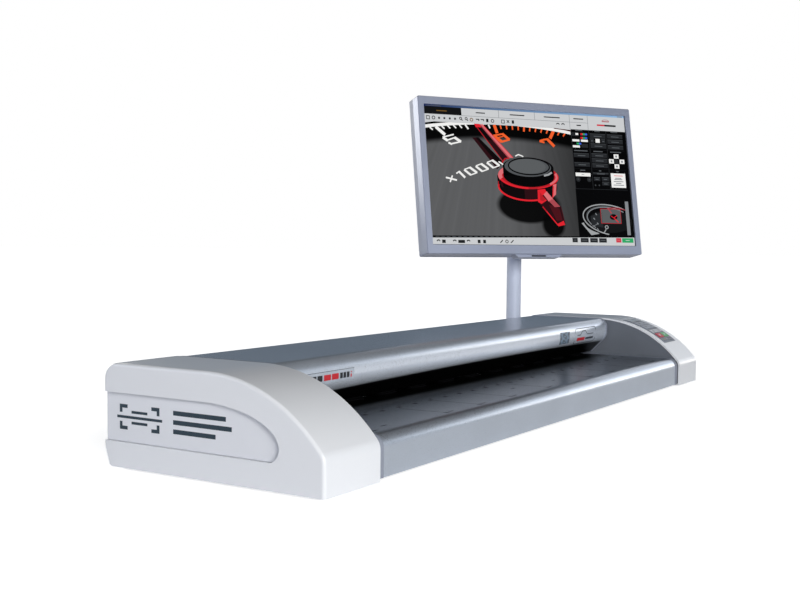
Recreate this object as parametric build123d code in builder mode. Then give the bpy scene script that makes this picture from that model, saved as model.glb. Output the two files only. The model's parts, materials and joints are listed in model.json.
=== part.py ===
"""Wide-format sheet-feed scanner with a monitor on a mast, built as an assembly of separate pieces.

Millimetres. X runs along the scanner from the operator's left to right, Y from front to back, Z up.
The origin is the centre of the middle foot's underside, which is the centre of the footprint.
"""

import os
from math import cos, degrees, radians, sin

from build123d import *

os.makedirs("parts", exist_ok=True)

# ---------------------------------------------------------------- driving dimensions
WIDTH = 1180.0  # outer face of one end cap to the other
DEPTH = 304.0
HEIGHT = 118.0  # top of the end caps above the surface that the feet stand on
CAP_WIDTH = 99.0
LIFT = 2.5  # underside of the caps above the surface
SHEET = 1.5  # sheet-metal thickness
PLASTIC = 3.0  # wall of the moulded end caps

FRONT, BACK = -DEPTH / 2, DEPTH / 2
CAP_OUT = WIDTH / 2
CAP_IN = CAP_OUT - CAP_WIDTH  # inner face of the right end cap

# End cap outline: upright nose, small turn, then one long sweep up to the flat top
SWEEP_RADIUS = 197.0
NOSE_RADIUS = 17.5
NOSE_TURN = 40.0  # degrees turned by the nose before the long sweep starts
REAR_RADIUS = 19.0
SWEEP_Y = FRONT + NOSE_RADIUS * (1 - cos(radians(NOSE_TURN))) + SWEEP_RADIUS * cos(radians(NOSE_TURN))
SWEEP_Z = HEIGHT - SWEEP_RADIUS
NOSE_Z = SWEEP_Z + (SWEEP_RADIUS - NOSE_RADIUS) * sin(radians(NOSE_TURN))

# Recess in a cap's outer face, and the inlay plate that lines it
RECESS_TOP, RECESS_BOTTOM = 85.5, 30.8
RECESS_CROWN = 6.0  # y where the recess's top line starts to curve down
RECESS_ARCS = ((240, 14), (100, 20), (30, 30))  # radius and degrees turned, towards the rounded tip
RECESS_DEPTH = 8.0
INLAY = 3.0
INLAY_GAP = 0.4

# Base tray and feet
TRAY_Z = LIFT + PLASTIC
FOOT_RADIUS = 12.0
FOOT_PLACES = [(0, 0), (-440, -120), (440, -120), (-440, 120), (440, 120)]
STAND_HOLE, STAND_X, STAND_Y = 3.2, 400.0, 90.0

# Paper path
TABLE_TOP = 51.0
TABLE_FRONT = FRONT + 4.5
TABLE_BEND = 15.0
TABLE_X = 478.0  # half length of the feed table, the exit plate and the tyred part of the rollers
TABLE_REAR = 45.5
GLASS_FRONT, GLASS_REAR, GLASS_X = 46.0, 86.0, 480.0
GLASS_TOP, GLASS = 50.8, 3.0
EXIT_FRONT, EXIT_TOP = 86.5, 50.5
PANEL_BACK = BACK - 1.5  # outer face of the rear panel

# Rollers: both drive rollers are alike, and so are both idler rollers in the lid
ROLLER_Y = {"infeed": 30.0, "outfeed": 102.0}
TYRE_RADIUS, TYRE_LENGTH, TYRE_PITCH, TYRE_COUNT = 12.0, 40.0, 80.0, 12
ROLLER_Z = TABLE_TOP + 0.5 - TYRE_RADIUS
CORE_RADIUS, JOURNAL_RADIUS = 6.0, 3.95
IDLER_RADIUS, IDLER_LENGTH, IDLER_SHAFT = 9.0, 36.0, 3.0
IDLER_Z = ROLLER_Z + TYRE_RADIUS + IDLER_RADIUS + 0.3
RUNNING = 0.05  # radial clearance of a shaft that turns or slides in a hole

# Lid
DECK = HEIGHT - 1.2
LID_REAR_RADIUS = 18.8
PIVOT_Y, PIVOT_Z = PANEL_BACK - LID_REAR_RADIUS, DECK - LID_REAR_RADIUS
LID_NOSE = -13.0
LID_TOP_RADIUS, LID_LOWER_RADIUS, LID_LOWER_Z = 16.0, 20.0, 93.0
LID_BOTTOM = 56.0
LID_WALL = 2.0
LID_X, LID_END = 484.0, 489.5
TRIM_PROUD = 0.8
PIN_RADIUS = 5.0

# Cheeks and side frames stand just inside the end caps
CHEEK_X, CHEEK = CAP_IN + 1.0, 2.5
FRAME_X, FRAME = 496.0, 3.0

# Belt drive, in the right end cap
PULLEY_RADIUS, MOTOR_PULLEY_RADIUS = 12.8, 6.4
PULLEY_X, PULLEY_WIDTH = 505.0, 8.0
MOTOR_Y, MOTOR_Z = 66.0, 80.0
MOTOR_X, MOTOR_SIZE, MOTOR_LENGTH = 516.0, 42.0, 34.0
MOTOR_BOLT = 15.5
BELT, BELT_WIDTH = 1.4, 5.8

# Control panel on the right end cap: angles are measured back from the vertical, about the sweep's centre
PANEL_X = (506.0, 565.0)
PANEL_ANGLES = (12.0, 38.0)
PANEL_SKIN = 0.8
DISPLAY_X = (509.0, 562.0)
DISPLAY_ANGLES = (12.7, 16.4)
KEY_TOP = SWEEP_RADIUS + 1.8
KEY_FLANGE = (SWEEP_RADIUS - 5.0, SWEEP_RADIUS - PLASTIC - 0.1)
KEY_COLUMNS = (523.0, 548.0)
KEY_WIDTH = 23.0
KEYS = {  # key: (column, angle of its centre, length along the sweep)
    "menu_key": (0, 19.4, 11.0),
    "up_key": (1, 19.4, 11.0),
    "back_key": (0, 23.6, 11.0),
    "down_key": (1, 23.6, 11.0),
    "rewind_key": (0, 28.2, 8.5),
    "forward_key": (1, 28.2, 8.5),
    "stop_key": (0, 32.2, 11.5),
    "start_key": (1, 32.2, 11.5),
}

# Rear connectors
CONNECTOR_Z = 27.0
SOCKET_X, ROCKER_X, JACK_X = -409.0, -383.0, (-340.0, -322.0)
ROCKER_TILT = 8.0
SCREW_X, SCREW_Z = (-465.0, -300.0, -100.0, 100.0, 300.0, 430.0), 10.6

# Monitor on its mast
MAST_X, MAST_Y = 473.0, 172.0
MAST_RADIUS, INNER_MAST_RADIUS = 14.0, 11.9
MAST_FOOT, MAST_TOP, INNER_MAST_FOOT, INNER_MAST_TOP = 13.0, 320.0, 180.0, 408.0
TURN = 34.8  # degrees that the screen is turned from straight ahead towards the left end
TILT = 10.5  # degrees that it leans back
PIVOT_HEIGHT = 369.1
PIVOT_AHEAD = 25.0  # tilt pin ahead of the mast's axis
SCREEN_AHEAD = 46.0  # monitor's front face ahead of the tilt pin
MONITOR_W, MONITOR_H, MONITOR_DEPTH = 454.0, 289.0, 38.0
BEZEL_DEPTH = 22.0
WINDOW_W, WINDOW_H, WINDOW_UP = 431.0, 258.0, 1.0
MONITOR_WALL = 3.0
PANEL_W, PANEL_H, PANEL_DEPTH = 440.0, 270.0, 9.0
POCKET, POCKET_DEPTH = 112.0, 15.0
VESA, VESA_PLATE = 100.0, 3.0

AHEAD = Vector(-sin(radians(TURN)), -cos(radians(TURN)), 0)
ACROSS = Vector(cos(radians(TURN)), -sin(radians(TURN)), 0)
SCREEN_NORMAL = AHEAD * cos(radians(TILT)) + Vector(0, 0, 1) * sin(radians(TILT))
TILT_PIN = Vector(MAST_X, MAST_Y, PIVOT_HEIGHT) + AHEAD * PIVOT_AHEAD
SCREEN_AXIS = Axis(TILT_PIN, SCREEN_NORMAL)
BUTTON_Y = -MONITOR_H / 2 - 2.75  # centre of the button slot in the lip under the bezel


def save(builder, name):
    """Labels a finished piece and writes it under its node's name."""
    builder.part.label = name
    export_step(builder.part, f"parts/{name}.step")


def side_plane(x):
    """A sketch plane across the scanner at x: its x is the scanner's Y, and its y is Z."""
    return Plane.YZ.offset(x)


def screen_plane(ahead):
    """A sketch plane parallel to the screen, at a distance ahead of the tilt pin."""
    return Plane(origin=TILT_PIN + SCREEN_NORMAL * ahead, x_dir=ACROSS, z_dir=SCREEN_NORMAL)


def block(x, y, z, mode=Mode.ADD):
    """A box given by its low and high limits on each axis."""
    with Locations((x[0], y[0], z[0])):
        Box(x[1] - x[0], y[1] - y[0], z[1] - z[0], align=Align.MIN, mode=mode)


def rod(radius, x, y, z, mode=Mode.ADD):
    """A round bar along X, between two values of x."""
    with Locations(Location((x[0], y, z), (0, 90, 0))):
        Cylinder(radius, x[1] - x[0], align=(Align.CENTER, Align.CENTER, Align.MIN), mode=mode)


def both_ends(inner, outer):
    """The matching spans of x at the left end and at the right end."""
    return [(-outer, -inner), (inner, outer)]


TYRE_PLACES = [TYRE_PITCH * (i - (TYRE_COUNT - 1) / 2) for i in range(TYRE_COUNT)]


# ---------------------------------------------------------------- outlines
def cap_outline(inset=0.0):
    """Side outline of an end cap."""
    with BuildSketch() as outline:
        with BuildLine():
            up = Line((FRONT, LIFT), (FRONT, NOSE_Z))
            nose = JernArc(up @ 1, up % 1, NOSE_RADIUS, -NOSE_TURN)
            sweep = JernArc(nose @ 1, nose % 1, SWEEP_RADIUS, NOSE_TURN - 90)
            top = Line(sweep @ 1, (BACK - REAR_RADIUS, HEIGHT))
            rear = JernArc(top @ 1, top % 1, REAR_RADIUS, -90)
            Polyline(rear @ 1, (BACK, 31), (BACK - 9, LIFT + 2), (BACK - 12, LIFT), (FRONT, LIFT))
        make_face()
        if inset:
            offset(amount=-inset)
    return outline.sketch


def recess_outline(grow=0.0, rear=BACK + 20):
    """Outline of the recess in a cap's outer face, from its rounded front end back to a given y."""
    with BuildSketch() as outline:
        with BuildLine():
            top = Line((rear - grow, RECESS_TOP), (RECESS_CROWN, RECESS_TOP))
            curve, turned = top, 0
            for radius, turn in RECESS_ARCS:
                curve = JernArc(curve @ 1, curve % 1, radius, turn)
                turned += turn
            tip_radius = ((curve @ 1).Y - RECESS_BOTTOM) / (1 + cos(radians(turned)))
            tip = JernArc(curve @ 1, curve % 1, tip_radius, 180 - turned)
            Polyline(tip @ 1, (rear - grow, RECESS_BOTTOM), (rear - grow, RECESS_TOP))
        make_face()
        if grow:
            offset(amount=grow)
    return outline.sketch


def lid_outline(grow=0.0):
    """Side outline of the closed lid, from its rear wall over the deck to the undercut nose."""
    with BuildSketch() as outline:
        with BuildLine():
            wall = Line((PANEL_BACK, LID_BOTTOM), (PANEL_BACK, PIVOT_Z))
            barrel = JernArc(wall @ 1, wall % 1, LID_REAR_RADIUS, 90)
            deck = Line(barrel @ 1, (LID_NOSE + LID_TOP_RADIUS, DECK))
            brow = JernArc(deck @ 1, deck % 1, LID_TOP_RADIUS, 90)
            face = Line(brow @ 1, (LID_NOSE, LID_LOWER_Z))
            chin = JernArc(face @ 1, face % 1, LID_LOWER_RADIUS, 45)
            drop = (chin @ 1).Y - LID_BOTTOM
            throat = Line(chin @ 1, ((chin @ 1).X + drop, LID_BOTTOM))
            Line(throat @ 1, wall @ 0)
        make_face()
        if grow:
            offset(amount=grow)
    return outline.sketch


def table_outline(rear, proud, thickness):
    """Side section of the feed table: flat top, rounded front edge and upright fascia."""
    with BuildSketch() as outline:
        with BuildLine():
            top = Line((rear, TABLE_TOP + proud), (TABLE_FRONT + TABLE_BEND, TABLE_TOP + proud))
            bend = JernArc(top @ 1, top % 1, TABLE_BEND + proud, 90)
            face = Line(bend @ 1, (TABLE_FRONT - proud, LIFT + 2))
            inner_face = Line(face @ 1, (TABLE_FRONT - proud + thickness, LIFT + 2))
            up = Line(inner_face @ 1, (TABLE_FRONT - proud + thickness, TABLE_TOP - TABLE_BEND))
            inner_bend = JernArc(up @ 1, up % 1, TABLE_BEND + proud - thickness, -90)
            back = Line(inner_bend @ 1, (rear, TABLE_TOP + proud - thickness))
            Line(back @ 1, top @ 0)
        make_face()
    return outline.sketch


def belt_outline(gap):
    """Outline around the three pulleys at a distance outside their rims."""
    with BuildSketch() as outline:
        with BuildLine():
            for y in ROLLER_Y.values():
                CenterArc((y, ROLLER_Z), PULLEY_RADIUS + gap, 0, 360)
            CenterArc((MOTOR_Y, MOTOR_Z), MOTOR_PULLEY_RADIUS + gap, 0, 360)
        make_hull()
    return outline.sketch


def sweep_band(inner, outer, middle, length):
    """Section that follows the cap's long sweep between two radii, either side of a middle angle."""
    half = degrees(length / 2 / SWEEP_RADIUS)
    centre = (SWEEP_Y, SWEEP_Z)
    with BuildSketch() as outline:
        with BuildLine():
            low = CenterArc(centre, inner, 90 + middle - half, 2 * half)
            high = CenterArc(centre, outer, 90 + middle - half, 2 * half)
            Line(low @ 0, high @ 0)
            Line(low @ 1, high @ 1)
        make_face()
    return outline.sketch


def screw_circles(radius):
    """A circle at each screw along the foot of the rear panel."""
    with BuildSketch() as circles:
        with Locations([(x, SCREW_Z) for x in SCREW_X]):
            Circle(radius)
    return circles.sketch


def sweep_length(angles):
    """Length along the sweep between two angles from the vertical."""
    return radians(angles[1] - angles[0]) * SWEEP_RADIUS


# ---------------------------------------------------------------- end caps
def end_cap(windows=()):
    """Moulded end cap in the right end's place: open towards the scanner, with a recess outside."""
    with BuildPart() as cap:
        with BuildSketch(side_plane(CAP_IN)):
            add(cap_outline())
        extrude(amount=CAP_WIDTH)
        outer_face = cap.faces().sort_by(Axis.X)[-1]
        fillet(outer_face.edges().filter_by(lambda e: e.center().Z > 20), 4)
        with BuildSketch(side_plane(CAP_IN)):
            add(cap_outline(PLASTIC))
        extrude(amount=CAP_WIDTH - PLASTIC, mode=Mode.SUBTRACT)
        with BuildSketch(side_plane(CAP_OUT - RECESS_DEPTH - PLASTIC)):
            add(cap_outline(PLASTIC - 1))
            add(recess_outline(PLASTIC), mode=Mode.INTERSECT)
        extrude(amount=RECESS_DEPTH)
        with BuildSketch(side_plane(CAP_OUT - RECESS_DEPTH)):
            add(recess_outline())
        extrude(amount=RECESS_DEPTH + 1, mode=Mode.SUBTRACT)
        for column, angle, length in windows:
            with BuildSketch(side_plane(KEY_COLUMNS[column] - KEY_WIDTH / 2 - 0.4)):
                add(sweep_band(SWEEP_RADIUS - 8, SWEEP_RADIUS + 2, angle, length + 0.8))
            extrude(amount=KEY_WIDTH + 0.8, mode=Mode.SUBTRACT)
    return cap


left_end_cap = end_cap()
left_end_cap.part = left_end_cap.part.mirror(Plane.YZ)
save(left_end_cap, "left_end_cap")

right_end_cap = end_cap(KEYS.values())
save(right_end_cap, "right_end_cap")

with BuildPart() as cap_inlays:
    for x in (-CAP_OUT + RECESS_DEPTH - INLAY, CAP_OUT - RECESS_DEPTH):
        with BuildSketch(side_plane(x)):
            add(recess_outline(-INLAY_GAP, rear=BACK - INLAY_GAP))
        extrude(amount=INLAY)
save(cap_inlays, "cap_inlays")

# Slate-grey plates that close the caps' open sides, pierced for the shafts, the pins and the carrier
with BuildPart() as cap_cheeks:
    for low, high in both_ends(CHEEK_X, CHEEK_X + CHEEK):
        with BuildSketch(side_plane(low)):
            add(cap_outline(PLASTIC + 0.4))
            with Locations((0, TRAY_Z)):
                Rectangle(2 * DEPTH, 6, mode=Mode.SUBTRACT)
            with Locations([(y, ROLLER_Z) for y in ROLLER_Y.values()]):
                Circle(CORE_RADIUS + 1.5, mode=Mode.SUBTRACT)
            with Locations((PIVOT_Y, PIVOT_Z)):
                Circle(PIN_RADIUS + 1, mode=Mode.SUBTRACT)
            with Locations(((GLASS_FRONT + GLASS_REAR) / 2, 29)):
                Rectangle(46, 46, mode=Mode.SUBTRACT)
        extrude(amount=high - low)
save(cap_cheeks, "cap_cheeks")

# ---------------------------------------------------------------- base
with BuildPart() as base_tray:
    floor_z = (TRAY_Z, TRAY_Z + SHEET)
    tray_front = TABLE_FRONT + 2
    block((-CAP_IN + 0.5, CAP_IN - 0.5), (tray_front, PANEL_BACK - SHEET), floor_z)
    block((-514, 514), (tray_front, BACK - 13), floor_z)
    block((-TABLE_X, TABLE_X), (tray_front, tray_front + SHEET), (TRAY_Z, 21))
    block((-CAP_IN + 0.5, CAP_IN - 0.5), (PANEL_BACK - 2 * SHEET, PANEL_BACK - SHEET), (TRAY_Z, 14))
    with BuildSketch(Plane.XY.offset(TRAY_Z)):
        with GridLocations(2 * STAND_X, 2 * STAND_Y, 2, 2):
            Circle(STAND_HOLE)
    extrude(amount=SHEET, mode=Mode.SUBTRACT)
    with BuildSketch(Plane.XZ.offset(-PANEL_BACK - 1)):
        add(screw_circles(2))
    extrude(amount=5, mode=Mode.SUBTRACT)
save(base_tray, "base_tray")

with BuildPart() as rubber_feet:
    with BuildSketch():
        with Locations(FOOT_PLACES):
            Circle(FOOT_RADIUS)
    extrude(amount=TRAY_Z, taper=4)
save(rubber_feet, "rubber_feet")

# Steel plates that carry the rollers and the lid, with riveted posts for the motor on the right
with BuildPart() as side_frames:
    for low, high in both_ends(FRAME_X, FRAME_X + FRAME):
        with BuildSketch(side_plane(low)):
            with BuildLine():
                Polyline(
                    (-125, TRAY_Z + SHEET), (136, TRAY_Z + SHEET), (146, 38), (146, 104), (140, 110),
                    (50, 106), (40, 100), (30, 60), (-100, 46), (-125, 30), close=True,
                )
            make_face()
            with Locations([(y, ROLLER_Z) for y in ROLLER_Y.values()]):
                Circle(JOURNAL_RADIUS + 3.05, mode=Mode.SUBTRACT)
            with Locations((PIVOT_Y, PIVOT_Z)):
                Circle(PIN_RADIUS, mode=Mode.SUBTRACT)
            with Locations((MOTOR_Y, MOTOR_Z)):
                Circle(MOTOR_PULLEY_RADIUS + 4, mode=Mode.SUBTRACT)
            with Locations((-20, 28), (-80, 28)):
                SlotOverall(36, 14, mode=Mode.SUBTRACT)
        extrude(amount=high - low)
    for low, high in both_ends(FRAME_X, FRAME_X + FRAME + 12):
        block((low, high), (-120, 130), (TRAY_Z + SHEET, TRAY_Z + 2 * SHEET))
    for y in (MOTOR_Y - MOTOR_BOLT, MOTOR_Y + MOTOR_BOLT):
        for z in (MOTOR_Z - MOTOR_BOLT, MOTOR_Z + MOTOR_BOLT):
            rod(3, (FRAME_X + 1, MOTOR_X), y, z)
save(side_frames, "side_frames")

with BuildPart() as drive_bushes:
    for y in ROLLER_Y.values():
        for low, high in both_ends(FRAME_X - 0.5, FRAME_X + FRAME):
            rod(JOURNAL_RADIUS + 3.05, (low, high), y, ROLLER_Z)
        for low, high in both_ends(FRAME_X + FRAME, FRAME_X + FRAME + SHEET):
            rod(JOURNAL_RADIUS + 5, (low, high), y, ROLLER_Z)
        rod(JOURNAL_RADIUS + RUNNING, (-510, 510), y, ROLLER_Z, mode=Mode.SUBTRACT)
save(drive_bushes, "drive_bushes")

with BuildPart() as hinge_pins:
    for low, high in both_ends(LID_X - 3.5, FRAME_X + FRAME + 2):
        rod(PIN_RADIUS, (low, high), PIVOT_Y, PIVOT_Z)
    for low, high in both_ends(FRAME_X + FRAME, FRAME_X + FRAME + 3):
        rod(PIN_RADIUS + 3, (low, high), PIVOT_Y, PIVOT_Z)
save(hinge_pins, "hinge_pins")

# ---------------------------------------------------------------- paper path in the base
with BuildPart() as feed_table:
    with BuildSketch(side_plane(-TABLE_X)):
        add(table_outline(TABLE_REAR, 0, SHEET))
    extrude(amount=2 * TABLE_X)
    for x in TYRE_PLACES:
        half = TYRE_LENGTH / 2 + 1.5
        y = ROLLER_Y["infeed"]
        block((x - half, x + half), (y - 9.5, y + 9.5), (TABLE_TOP - 5, TABLE_TOP + 1), Mode.SUBTRACT)
save(feed_table, "feed_table")

with BuildPart() as table_trims:
    for low, high in both_ends(TABLE_X + 0.3, CAP_IN - 2):
        with BuildSketch(side_plane(low)):
            add(table_outline(TABLE_REAR - 5, 0.4, 2.3))
        extrude(amount=high - low)
save(table_trims, "table_trims")

with BuildPart() as sensor_carrier:
    ends = (-FRAME_X + 0.1, FRAME_X - 0.1)
    wall_front, wall_rear = GLASS_FRONT - 0.2, GLASS_REAR + 0.2
    block(ends, (wall_front - SHEET, wall_rear + SHEET), (10, 10 + SHEET))
    block(ends, (wall_front - SHEET, wall_front), (10, TABLE_TOP - SHEET))
    block(ends, (wall_rear, wall_rear + SHEET), (10, EXIT_TOP - SHEET))
    ledge_z = (GLASS_TOP - GLASS - SHEET, GLASS_TOP - GLASS)
    block(ends, (wall_front, wall_front + 4), ledge_z)
    block(ends, (wall_rear - 4, wall_rear), ledge_z)
save(sensor_carrier, "sensor_carrier")

# Four contact image sensors, staggered in two rows so that their scans overlap
SENSOR_LENGTH, SENSOR_WIDTH = 246.0, 17.5
SENSOR_PLACES = [(-343, 57.0), (-113, 75.5), (117, 57.0), (347, 75.5)]
with BuildPart() as sensor_modules:
    for x, y in SENSOR_PLACES:
        half = SENSOR_LENGTH / 2
        block((x - half, x + half), (y - SENSOR_WIDTH / 2, y + SENSOR_WIDTH / 2), (13, 46))
        block((x - half + 5, x + half - 5), (y - 2, y + 2), (43, 47), Mode.SUBTRACT)
save(sensor_modules, "sensor_modules")

with BuildPart() as scan_glass:
    block((-GLASS_X, GLASS_X), (GLASS_FRONT, GLASS_REAR), (GLASS_TOP - GLASS, GLASS_TOP))
save(scan_glass, "scan_glass")

with BuildPart() as exit_plate:
    block((-TABLE_X, TABLE_X), (EXIT_FRONT, PANEL_BACK), (EXIT_TOP - SHEET, EXIT_TOP))
    for x in TYRE_PLACES:
        half = TYRE_LENGTH / 2 + 1.5
        y = ROLLER_Y["outfeed"]
        block((x - half, x + half), (y - 9.5, y + 9.5), (EXIT_TOP - 5, EXIT_TOP + 1), Mode.SUBTRACT)
save(exit_plate, "exit_plate")


def drive_shaft(name, right_end):
    """Steel core of a drive roller, with a journal at each end."""
    with BuildPart() as shaft:
        rod(CORE_RADIUS, (-CHEEK_X + 1, CHEEK_X - 1), ROLLER_Y[name], ROLLER_Z)
        rod(JOURNAL_RADIUS, (-FRAME_X - 6, right_end), ROLLER_Y[name], ROLLER_Z)
    return shaft


def drive_tyres(name):
    """Rubber tyres bonded to a drive roller's core."""
    with BuildPart() as tyres:
        for x in TYRE_PLACES:
            span = (x - TYRE_LENGTH / 2, x + TYRE_LENGTH / 2)
            rod(TYRE_RADIUS, span, ROLLER_Y[name], ROLLER_Z)
            rod(CORE_RADIUS, span, ROLLER_Y[name], ROLLER_Z, mode=Mode.SUBTRACT)
    return tyres


def drive_pulley(name):
    """Flanged belt pulley on a drive roller's right-hand end."""
    with BuildPart() as pulley:
        y = ROLLER_Y[name]
        rod(PULLEY_RADIUS, (PULLEY_X, PULLEY_X + PULLEY_WIDTH), y, ROLLER_Z)
        rod(JOURNAL_RADIUS + 4, (FRAME_X + FRAME + SHEET + 0.5, PULLEY_X), y, ROLLER_Z)
        for x in (PULLEY_X, PULLEY_X + PULLEY_WIDTH - 1):
            rod(PULLEY_RADIUS + 2.2, (x, x + 1), y, ROLLER_Z)
        rod(JOURNAL_RADIUS, (FRAME_X, PULLEY_X + 20), y, ROLLER_Z, mode=Mode.SUBTRACT)
    return pulley


for row in ROLLER_Y:
    save(drive_shaft(row, PULLEY_X + PULLEY_WIDTH + 1), f"{row}_shaft")
    save(drive_tyres(row), f"{row}_tyres")
    save(drive_pulley(row), f"{row}_pulley")

# ---------------------------------------------------------------- belt drive
with BuildPart() as motor_pulley:
    rod(2.5, (PULLEY_X - 2, MOTOR_X + 5), MOTOR_Y, MOTOR_Z)
    rod(MOTOR_PULLEY_RADIUS, (PULLEY_X, PULLEY_X + PULLEY_WIDTH), MOTOR_Y, MOTOR_Z)
    for x in (PULLEY_X, PULLEY_X + PULLEY_WIDTH - 1):
        rod(MOTOR_PULLEY_RADIUS + 2.2, (x, x + 1), MOTOR_Y, MOTOR_Z)
save(motor_pulley, "motor_pulley")

with BuildPart() as drive_motor:
    half = MOTOR_SIZE / 2
    across, high = (MOTOR_Y - half, MOTOR_Y + half), (MOTOR_Z - half, MOTOR_Z + half)
    block((MOTOR_X, MOTOR_X + MOTOR_LENGTH), across, high)
    chamfer(drive_motor.edges().filter_by(Axis.X), 4)
    rod(2.5 + RUNNING, (MOTOR_X, MOTOR_X + 6), MOTOR_Y, MOTOR_Z, mode=Mode.SUBTRACT)
save(drive_motor, "drive_motor")

with BuildPart() as timing_belt:
    with BuildSketch(side_plane(PULLEY_X + (PULLEY_WIDTH - BELT_WIDTH) / 2)):
        add(belt_outline(0.1 + BELT))
        add(belt_outline(0.1), mode=Mode.SUBTRACT)
    extrude(amount=BELT_WIDTH)
save(timing_belt, "timing_belt")

# ---------------------------------------------------------------- control panel
with BuildPart() as control_panel:
    middle = sum(PANEL_ANGLES) / 2
    with BuildSketch(side_plane(PANEL_X[0])):
        add(sweep_band(SWEEP_RADIUS, SWEEP_RADIUS + PANEL_SKIN, middle, sweep_length(PANEL_ANGLES)))
    extrude(amount=PANEL_X[1] - PANEL_X[0])
    for column, angle, length in KEYS.values():
        with BuildSketch(side_plane(KEY_COLUMNS[column] - KEY_WIDTH / 2 - 0.3)):
            add(sweep_band(SWEEP_RADIUS - 1, SWEEP_RADIUS + 3, angle, length + 0.6))
        extrude(amount=KEY_WIDTH + 0.6, mode=Mode.SUBTRACT)
save(control_panel, "control_panel")

with BuildPart() as control_display:
    middle = sum(DISPLAY_ANGLES) / 2
    skin = SWEEP_RADIUS + PANEL_SKIN
    with BuildSketch(side_plane(DISPLAY_X[0])):
        add(sweep_band(skin, skin + 0.6, middle, sweep_length(DISPLAY_ANGLES)))
    extrude(amount=DISPLAY_X[1] - DISPLAY_X[0])
save(control_display, "control_display")


def panel_key(column, angle, length):
    """A key with a flange that keeps it behind the cap's wall."""
    x = KEY_COLUMNS[column] - KEY_WIDTH / 2
    with BuildPart() as key:
        with BuildSketch(side_plane(x - 0.8)):
            add(sweep_band(*KEY_FLANGE, angle, length + 1.6))
        extrude(amount=KEY_WIDTH + 1.6)
        with BuildSketch(side_plane(x)):
            add(sweep_band(KEY_FLANGE[0], KEY_TOP, angle, length))
        extrude(amount=KEY_WIDTH)
    return key


for key_name, key_size in KEYS.items():
    save(panel_key(*key_size), key_name)

# ---------------------------------------------------------------- rear panel and connectors
with BuildPart() as rear_panel:
    span = (-CAP_IN + 0.5, CAP_IN - 0.5)
    block(span, (PANEL_BACK - SHEET, PANEL_BACK), (TRAY_Z + SHEET, EXIT_TOP - SHEET))
    block(span, (PANEL_BACK - 16, PANEL_BACK), (EXIT_TOP - 2 * SHEET, EXIT_TOP - SHEET))
    with BuildSketch(Plane.XZ.offset(-PANEL_BACK - 1)):
        with Locations(((SOCKET_X + ROCKER_X) / 2 - 1, CONNECTOR_Z)):
            Rectangle(50.4, 25.4)
        with Locations((sum(JACK_X) / 2, CONNECTOR_Z)):
            Rectangle(38.4, 18.4)
        add(screw_circles(2))
        with Locations((-200, CONNECTOR_Z), (200, CONNECTOR_Z)):
            with GridLocations(6, 0, 20, 1):
                SlotOverall(20, 2.6, rotation=90)
    extrude(amount=4, mode=Mode.SUBTRACT)
save(rear_panel, "rear_panel")

with BuildPart() as case_screws:
    with BuildSketch(Plane.XZ.offset(-PANEL_BACK)):
        add(screw_circles(3.4))
    extrude(amount=-1.4)
    with BuildSketch(Plane.XZ.offset(-PANEL_BACK)):
        add(screw_circles(2))
    extrude(amount=5)
    for x in SCREW_X:
        block((x - 2.2, x + 2.2), (PANEL_BACK + 0.6, BACK), (SCREW_Z - 0.5, SCREW_Z + 0.5), Mode.SUBTRACT)
save(case_screws, "case_screws")

# Mains inlet and switch frame in one moulding; the three blades are set back inside the socket
with BuildPart() as power_inlet:
    middle = (SOCKET_X + ROCKER_X) / 2 - 1
    block((middle - 27, middle + 27), (PANEL_BACK, BACK), (CONNECTOR_Z - 15, CONNECTOR_Z + 15))
    block((middle - 25, middle + 25), (128, PANEL_BACK), (CONNECTOR_Z - 12.5, CONNECTOR_Z + 12.5))
    chamfer(power_inlet.edges().filter_by(Axis.Y).group_by(SortBy.LENGTH)[0], 1.5)
    block((SOCKET_X - 12, SOCKET_X + 12), (134, BACK + 1), (CONNECTOR_Z - 8, CONNECTOR_Z + 8), Mode.SUBTRACT)
    block((ROCKER_X - 5, ROCKER_X + 5), (134, BACK + 1), (CONNECTOR_Z - 9, CONNECTOR_Z + 9), Mode.SUBTRACT)
    for dx, dz in ((-7, 2), (7, 2), (0, -2)):
        x, z = SOCKET_X + dx, CONNECTOR_Z + dz
        block((x - 1, x + 1), (133, 145), (z - 2, z + 2))
    rod(1.5, (ROCKER_X - 6, ROCKER_X + 6), BACK - 6, CONNECTOR_Z)
save(power_inlet, "power_inlet")

with BuildPart() as power_rocker:
    pivot = Location((BACK - 6, CONNECTOR_Z, 0), ROCKER_TILT)
    tilt_plane = Plane(side_plane(ROCKER_X - 4.7).location * pivot)
    with BuildSketch(tilt_plane):
        with BuildLine():
            lower, upper = ((-4, -3), (4.5, -7.6), (6.6, -7.6)), ((6.6, 7.6), (4.5, 7.6), (-4, 3))
            Polyline(*lower, (5.4, 0), *upper, close=True)
        make_face()
        Circle(1.5 + RUNNING, mode=Mode.SUBTRACT)
    extrude(amount=9.4)
save(power_rocker, "power_rocker")

with BuildPart() as network_jacks:
    block((sum(JACK_X) / 2 - 19, sum(JACK_X) / 2 + 19), (130, BACK - 0.5), (CONNECTOR_Z - 9, CONNECTOR_Z + 9))
    for x in JACK_X:
        block((x - 6, x + 6), (137, BACK + 1), (CONNECTOR_Z - 4, CONNECTOR_Z + 4), Mode.SUBTRACT)
        block((x - 3, x + 3), (137, BACK + 1), (CONNECTOR_Z + 3, CONNECTOR_Z + 6), Mode.SUBTRACT)
save(network_jacks, "network_jacks")

# ---------------------------------------------------------------- electronics under the table
FLOOR = TRAY_Z + SHEET
with BuildPart() as power_supply:
    block((-300, -140), (-138, -55), (FLOOR, FLOOR + 34))
    chamfer(power_supply.edges().filter_by(Axis.X), 1)
    for x in range(-284, -150, 8):
        block((x, x + 3), (-125, -68), (FLOOR + 33, FLOOR + 35), Mode.SUBTRACT)
save(power_supply, "power_supply")

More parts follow.
